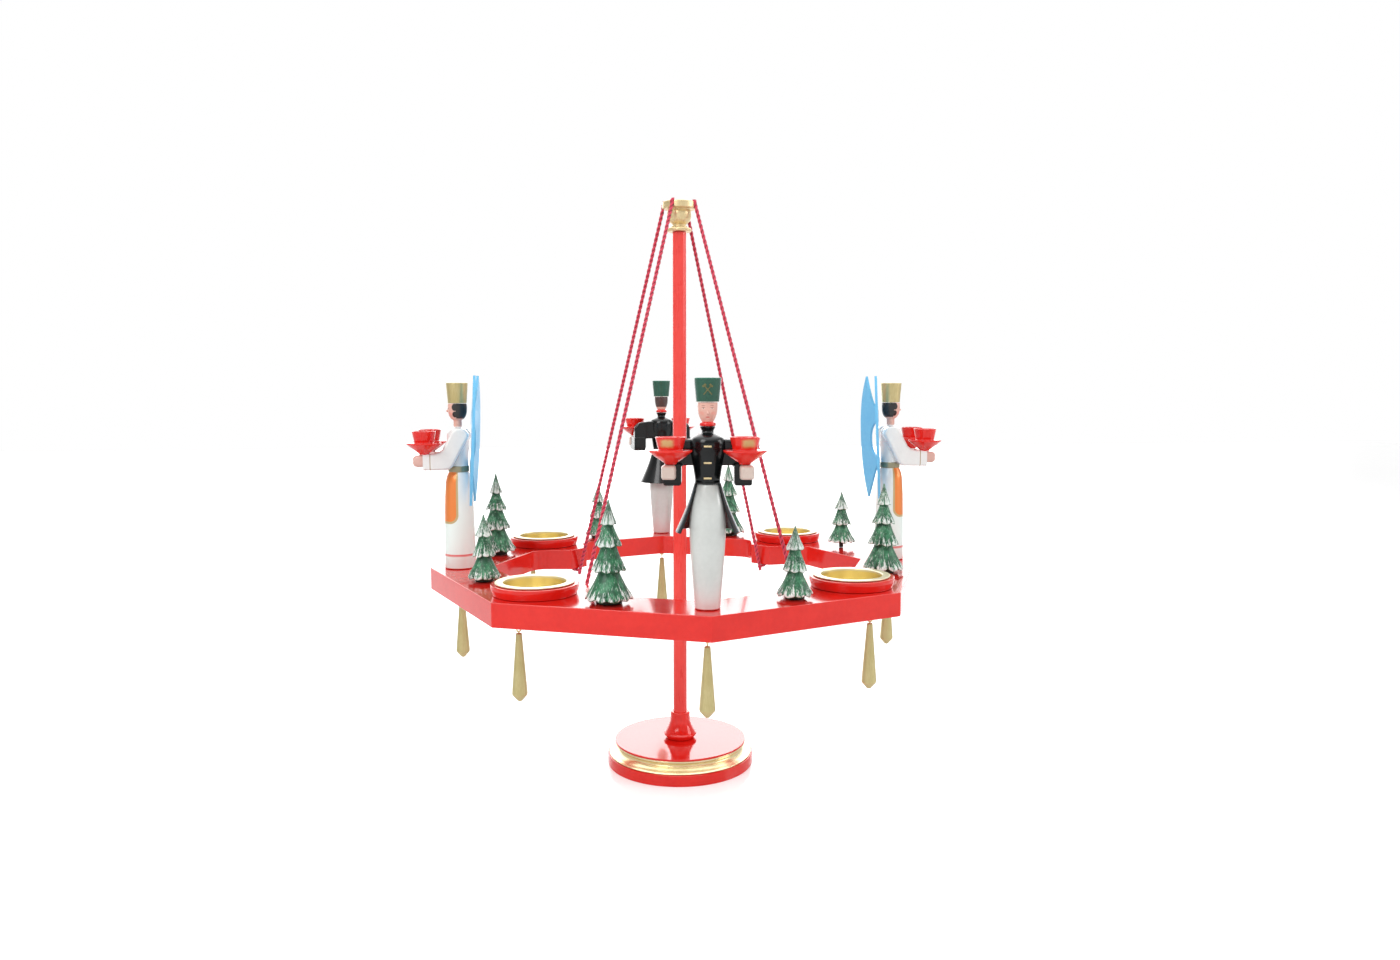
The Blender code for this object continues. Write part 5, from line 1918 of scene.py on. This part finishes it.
@dataclass
class Angel(Figure):
    """A winged figure in a white robe with an orange apron and a gold hat, with a cup on each hand."""

    reach: Point = (0.0152, -0.0218)
    hand_top: float = 0.0830
    hem_radius: float = 0.011
    waist_radius: float = 0.0069
    chest_radius: float = 0.0077
    sweep: float = radians(17.5)

    def robe(self) -> Piece:
        """The turned robe, with a raised belt."""
        r, w, c = self.hem_radius, self.waist_radius, self.chest_radius
        return Bench.turned("robe", [
            (0, 0.102), (0.0029, 0.102, 0.0003), (c * 0.74, 0.1006, 0.0018), (c, 0.0972, 0.002),
            (c * 1.04, 0.0900, 0.004), (c * 0.93, 0.0801, 0.003), (w, 0.0745, 0.001), (w + 0.0005, 0.0738, 0.0002),
            (w + 0.0006, 0.0702, 0.0002), (w + 0.0001, 0.0698, 0.0002), (w + (r - w) * 0.26, 0.0680, 0.002),
            (w + (r - w) * 0.58, 0.0637, 0.003), (w + (r - w) * 0.80, 0.0504, 0.005),
            (w + (r - w) * 0.92, 0.0288, 0.006), (r, 0.0014, 0.0004), (r, GAP, 0.0003), (0, GAP)], 112, 5)

    def sleeve(self, side: Side) -> Piece:
        """One wide sleeve with an open cuff.

        Args:
            side: Which arm.

        Returns:
            The sleeve.
        """
        across, ahead = self.reach
        cuff = ahead - 0.0006
        top, low = self.hand_top + 0.0008, self.hand_top - 0.0110
        sleeve = Bench.sawn(f"{side.label}_sleeve", [
            (0.0090, 0.0960), (0.0072, 0.0998), (0.0038, 0.1017), (-0.0002, 0.1014), (-0.0032, 0.0988),
            (-0.0092, top + 0.0032), (-0.0120, top + 0.0006), (-0.0150, top), (cuff - 0.004, top - 0.0002),
            (cuff - 0.004, low), (-0.0066, low), (-0.0034, low + 0.0012)], 0.0046, 0.0136, 0.0026)
        Bench.cuffed(sleeve, cuff)
        for vertex in sleeve.data.vertices:
            vertex.co.x += (across - 0.0093) * min(max(-(vertex.co.y + 0.003) / (-cuff - 0.003), 0.0), 1.0)
        r, w, c, g = self.hem_radius, self.waist_radius, self.chest_radius, GAP
        return self.trimmed(sleeve, side, [
            (0, 0.1023), (0.0032, 0.1023), (c * 0.74 + g, 0.1008), (c + g, 0.0975), (c * 1.04 + g, 0.0900),
            (c * 0.93 + g, 0.0801), (w + 0.0009, 0.0740), (w + 0.0009, 0.0700), (w + (r - w) * 0.58 + g, 0.0637),
            (r + g, 0.0), (0, 0.0)])

    def head(self) -> Piece:
        """The turned head and neck, with a small nose."""
        head = Bench.turned("face", [
            (0, 0.1189), (0.0066, 0.1189, 0.0002), (0.0069, 0.1165, 0.002), (0.0067, 0.1128, 0.003),
            (0.0059, 0.1098, 0.003), (0.0044, 0.1078, 0.0018), (0.0030, 0.1070, 0.0006), (0.0029, 0.1062, 0.0006),
            (0.0029, 0.1023, 0.0002), (0, 0.1023)], 72, 5)
        return self.nosed(head, [(0, -0.0060, 0.1150), (0, -0.0067, 0.1141), (0, -0.0073, 0.1133)],
                          [(0.0004, 0.0004), (0.0007, 0.0007), (0.0008, 0.0008)])

    def hat(self) -> Piece:
        """The tall gold hat with a slightly hollow top."""
        return Bench.turned("hat", [
            (0, 0.1330), (0.0068, 0.1330, 0.0006), (0.0072, 0.1337, 0.0003), (0.0077, 0.1336, 0.0004),
            (0.0074, 0.1290, 0.003), (0.0069, 0.1235, 0.003), (0.0067, 0.1200, 0.001), (0.0067, 0.1192, 0.0003),
            (0, 0.1190)], 72, 4)

    def wings(self) -> Piece:
        """Two leaf-shaped boards, swept and leant back and joined behind the back.

        Returns:
            The wings.
        """
        bottom, top, width, thick = 0.0465, 0.139, 0.021, 0.0018
        tall = top - bottom
        leaf = [
            (0.68, 0.0, 1), (0.87, 0.15, 0), (1.0, 0.34, 0), (1.03, 0.53, 0), (0.97, 0.72, 0), (0.82, 0.87, 0),
            (0.58, 1.0, 1), (0.41, 0.88, 0), (0.22, 0.785, 0), (-0.03, 0.72, 1), (-0.03, 0.625, 1), (0.22, 0.60, 0),
            (0.42, 0.49, 0), (0.28, 0.375, 0), (-0.03, 0.335, 1), (-0.03, 0.295, 1), (0.20, 0.22, 0), (0.46, 0.10, 0)]
        curve = bpy.data.curves.new("leaf", "CURVE")
        curve.dimensions = "2D"
        curve.fill_mode = "BOTH"
        curve.extrude = thick / 2
        curve.resolution_u = 8
        spline = curve.splines.new("BEZIER")
        spline.use_cyclic_u = True
        spline.bezier_points.add(len(leaf) - 1)
        for point, (x, y, sharp) in zip(spline.bezier_points, leaf):
            point.co = (width * x, bottom + tall * y, 0)
            point.handle_left_type = point.handle_right_type = "VECTOR" if sharp else "AUTO"
        board = bpy.data.objects.new("wings", curve)
        bpy.context.scene.collection.objects.link(board)
        Bench.take(board)
        bpy.ops.object.convert(target="MESH")
        board = bpy.context.object
        board.data.transform(Matrix.Rotation(pi / 2, 4, "X"))
        Bench.tidy(board)
        other = Bench.copied(board, "wing", Matrix.Scale(-1, 4, (1, 0, 0)))
        other.data.flip_normals()
        board.data.transform(Matrix.Rotation(self.sweep, 4, "Z"))
        other.data.transform(Matrix.Rotation(-self.sweep, 4, "Z"))
        Bench.joined(board, other)
        Bench.bevel(board, 0.00035, 2, 50)
        seat = 0.075
        board.data.transform(Matrix.Translation((0, 0, -seat)))
        board.data.transform(Matrix.Rotation(radians(-2.7), 4, "X"))
        board.data.transform(Matrix.Translation((0, self.chest_radius + GAP + thick / 2, seat)))
        return board

    def build(self) -> None:
        """Builds and dresses the angel."""
        orange, beige = (0.86, 0.24, 0.045), (0.56, 0.42, 0.20)
        marks = [
            # Painted reflection of the green trees: a greener white below the waist.
            Mark(band(-0.03, 0.050, 0.020), (0.81, 0.90, 0.86)),
            Mark(band(0.0698, 0.0742, 0.0001), (0.34, 0.31, 0.20), 0.3, 0.7),
            Mark(panel(0.0345, 0.0699, 0.0152, 0.0048, 0.0016), beige, 0.35, 0.4),
            Mark(panel(0.0345, 0.0699, 0.0152, 0.0048), orange),
            Mark(band(0.0091, 0.0108, 0.0001, 0.0001), RED_PAINT),
            # Painted shade: greyer at the foot, just above the ring.
            Mark(band(-0.001, 0.0090, 0.003), (0.74, 0.76, 0.72)),
            Mark(band(-0.001, 0.0008, 0.0001), RED_PAINT),
        ]
        self.put(self.robe(), WHITE, Slot.WHITE, "robe", marks=marks)
        face = [
            *pair((0.0042, -0.0052, 0.1116), (0.0017, 0.003, 0.0014), 0.7, (0.82, 0.32, 0.26)),
            *pair((0.0028, -0.0062, 0.1153), (0.0007, 0.003, 0.0005), 0.12, (0.10, 0.05, 0.04)),
            Mark(dot((0, -0.0060, 0.1100), (0.0013, 0.003, 0.0004), 0.4), (0.62, 0.10, 0.08)),
            Mark(behind(-0.0004, 0.1082, 0.1240), HAIR),
            *pair((0.0066, -0.0012, 0.1163), (0.003, 0.0022, 0.0026), 0.15, HAIR),
            *pair((0.0060, -0.0010, 0.1112), (0.003, 0.0020, 0.0022), 0.15, HAIR),
        ]
        self.put(self.head(), SKIN, Slot.GILT, "head", marks=face)
        old_gold = replace(GILT, colour=(0.67, 0.560, 0.290), shade=(0.54, 0.440, 0.195), streak=(1.2, 1.2, 0.25),
                           grain=900, grain_strength=0.6)
        self.put(self.hat(), old_gold, Slot.GILT)
        self.put(self.wings(), BLUE, Slot.BLUE, "wings")
        across, ahead = self.reach
        cuff = Mark(lambda look: look.axes()[1].between(-0.0179, -0.0174, 0.0001), (0.34, 0.22, 0.08))
        for side in Side:
            self.put(self.sleeve(side), WHITE, Slot.WHITE, f"{side.label}_arm", marks=[cuff])
            hand = self.hand(side, (0.0077, 0.0100, 0.0086),
                             (side.value * across, ahead - 0.0028, self.hand_top - 0.0043), 4.2)
            self.put(hand, replace(SKIN, colour=(0.74, 0.46, 0.40), shade=(0.66, 0.38, 0.32)), Slot.WHITE)
        self.cups(lambda side: [])


# Studio


@dataclass
class Studio:
    """The camera, the floor, the lamps and the pale surroundings."""

    eye: Corner = (-0.07717, -0.75470, 0.28279)
    gaze: Corner = (0.1209, 0.98851, -0.09077)
    lens: float = 26.39
    aim: Corner = (0, 0, 0.2)
    floor_size: float = 8.0
    floor_glow: float = 0.34
    soft_light: float = 0.72
    front_glow: float = 0.35
    back_glow: float = 2.5
    top_glow: float = 2.6

    @staticmethod
    def stood(data: bpy.types.ID, place: Corner, way: Vector) -> Piece:
        """Puts a camera or a lamp in the scene.

        Args:
            data: The camera or the lamp.
            place: Where it stands.
            way: Which way it looks.

        Returns:
            Its object.
        """
        obj = bpy.data.objects.new(data.name, data)
        obj.location = place
        obj.rotation_euler = way.to_track_quat("-Z", "Y").to_euler()
        bpy.context.scene.collection.objects.link(obj)
        return obj

    def camera(self) -> None:
        """Places the camera where the photograph was taken from."""
        data = bpy.data.cameras.new("Camera")
        data.lens = self.lens
        data.sensor_width = 36
        data.clip_start = 0.01
        bpy.context.scene.camera = self.stood(data, self.eye, Vector(self.gaze))

    def floor(self) -> None:
        """Lays a white floor that keeps the object's soft shadow and a faint reflection."""
        floor = Bench.added("floor", bpy.ops.mesh.primitive_plane_add, size=self.floor_size)
        look = Look("floor")
        look.feed(Base_Color=(0.86, 0.86, 0.86, 1), Roughness=0.16, Specular_IOR_Level=0.3,
                  Emission_Color=(1, 1, 1, 1), Emission_Strength=look.ray("Is Camera Ray") * self.floor_glow)
        look.cover(floor)

    def surroundings(self) -> None:
        """A white room: full white to the camera and in reflections, softer as a lamp."""
        world = bpy.data.worlds.new("studio")
        world.use_nodes = True
        net = Net(world.node_tree)
        x, y, z = net.split(net.node("TexCoord").outputs["Generated"])
        backdrop = y.over(0.175, 0.275) * (x.size().over(0.57, 0.07) * -0.88 + 1.0)
        room = net.blend(backdrop, self.front_glow, self.back_glow)
        room = net.blend(z.over(0.70, 0.25), room, self.top_glow)
        room = net.blend(z.under(0.21, 0.09) * y.under(-0.20, 0.10), room, 1.0)
        level = net.blend(net.ray("Is Glossy Ray"), self.soft_light, room)
        background = world.node_tree.nodes["Background"]
        net.link((1, 1, 1, 1), background.inputs["Color"])
        net.link(net.blend(net.ray("Is Camera Ray"), level, 1.0), background.inputs["Strength"])
        bpy.context.scene.world = world

    def lamp(self, name: str, place: Corner, size: Point, power: float) -> None:
        """Hangs one soft lamp that points at the object.

        Args:
            name: Its name.
            place: Where it hangs.
            size: Its width and height.
            power: Its power in watts.
        """
        data = bpy.data.lights.new(name, "AREA")
        data.shape = "RECTANGLE"
        data.size, data.size_y = size
        data.energy = power
        self.stood(data, place, Vector(self.aim) - Vector(place)).visible_camera = False

    def build(self) -> None:
        """Sets the studio up."""
        self.camera()
        self.floor()
        self.surroundings()
        self.lamp("key", (-1.1, -1.3, 1.4), (0.9, 0.9), 16)
        self.lamp("back", (0.2, 1.8, 1.2), (2.6, 1.2), 14)
        self.lamp("side", (1.7, -0.3, 0.8), (0.8, 0.8), 8)
        bpy.context.scene.view_settings.view_transform = "Standard"


def main() -> None:
    """Builds the studio and every sub-assembly in order."""
    logging.basicConfig(level=logging.INFO, format="%(message)s")
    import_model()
    Studio().build()
    Cords().build()
    for part in (Base(), Pole(), Finial(), Ring(), Tealights(), Drops(), Trees()):
        part.build()
    cup = CandleCup().build()
    miner_cup = CandleCup(rim=0.0088, foot=0.0070, height=0.0074, bore=0.0074, saucer=0.0125).build()
    turn = radians(7)
    for figure in (
        Miner("front_miner", 0, -turn, miner_cup),
        Miner("back_miner", pi, turn, miner_cup),
        Angel("left_angel", -pi / 2, 0, cup, sweep=radians(8)),
        Angel("right_angel", pi / 2, 0, cup),
    ):
        figure.build()
    Bench.discard(cup, miner_cup)
    Bench.clear()


if __name__ == "__main__":
    main()
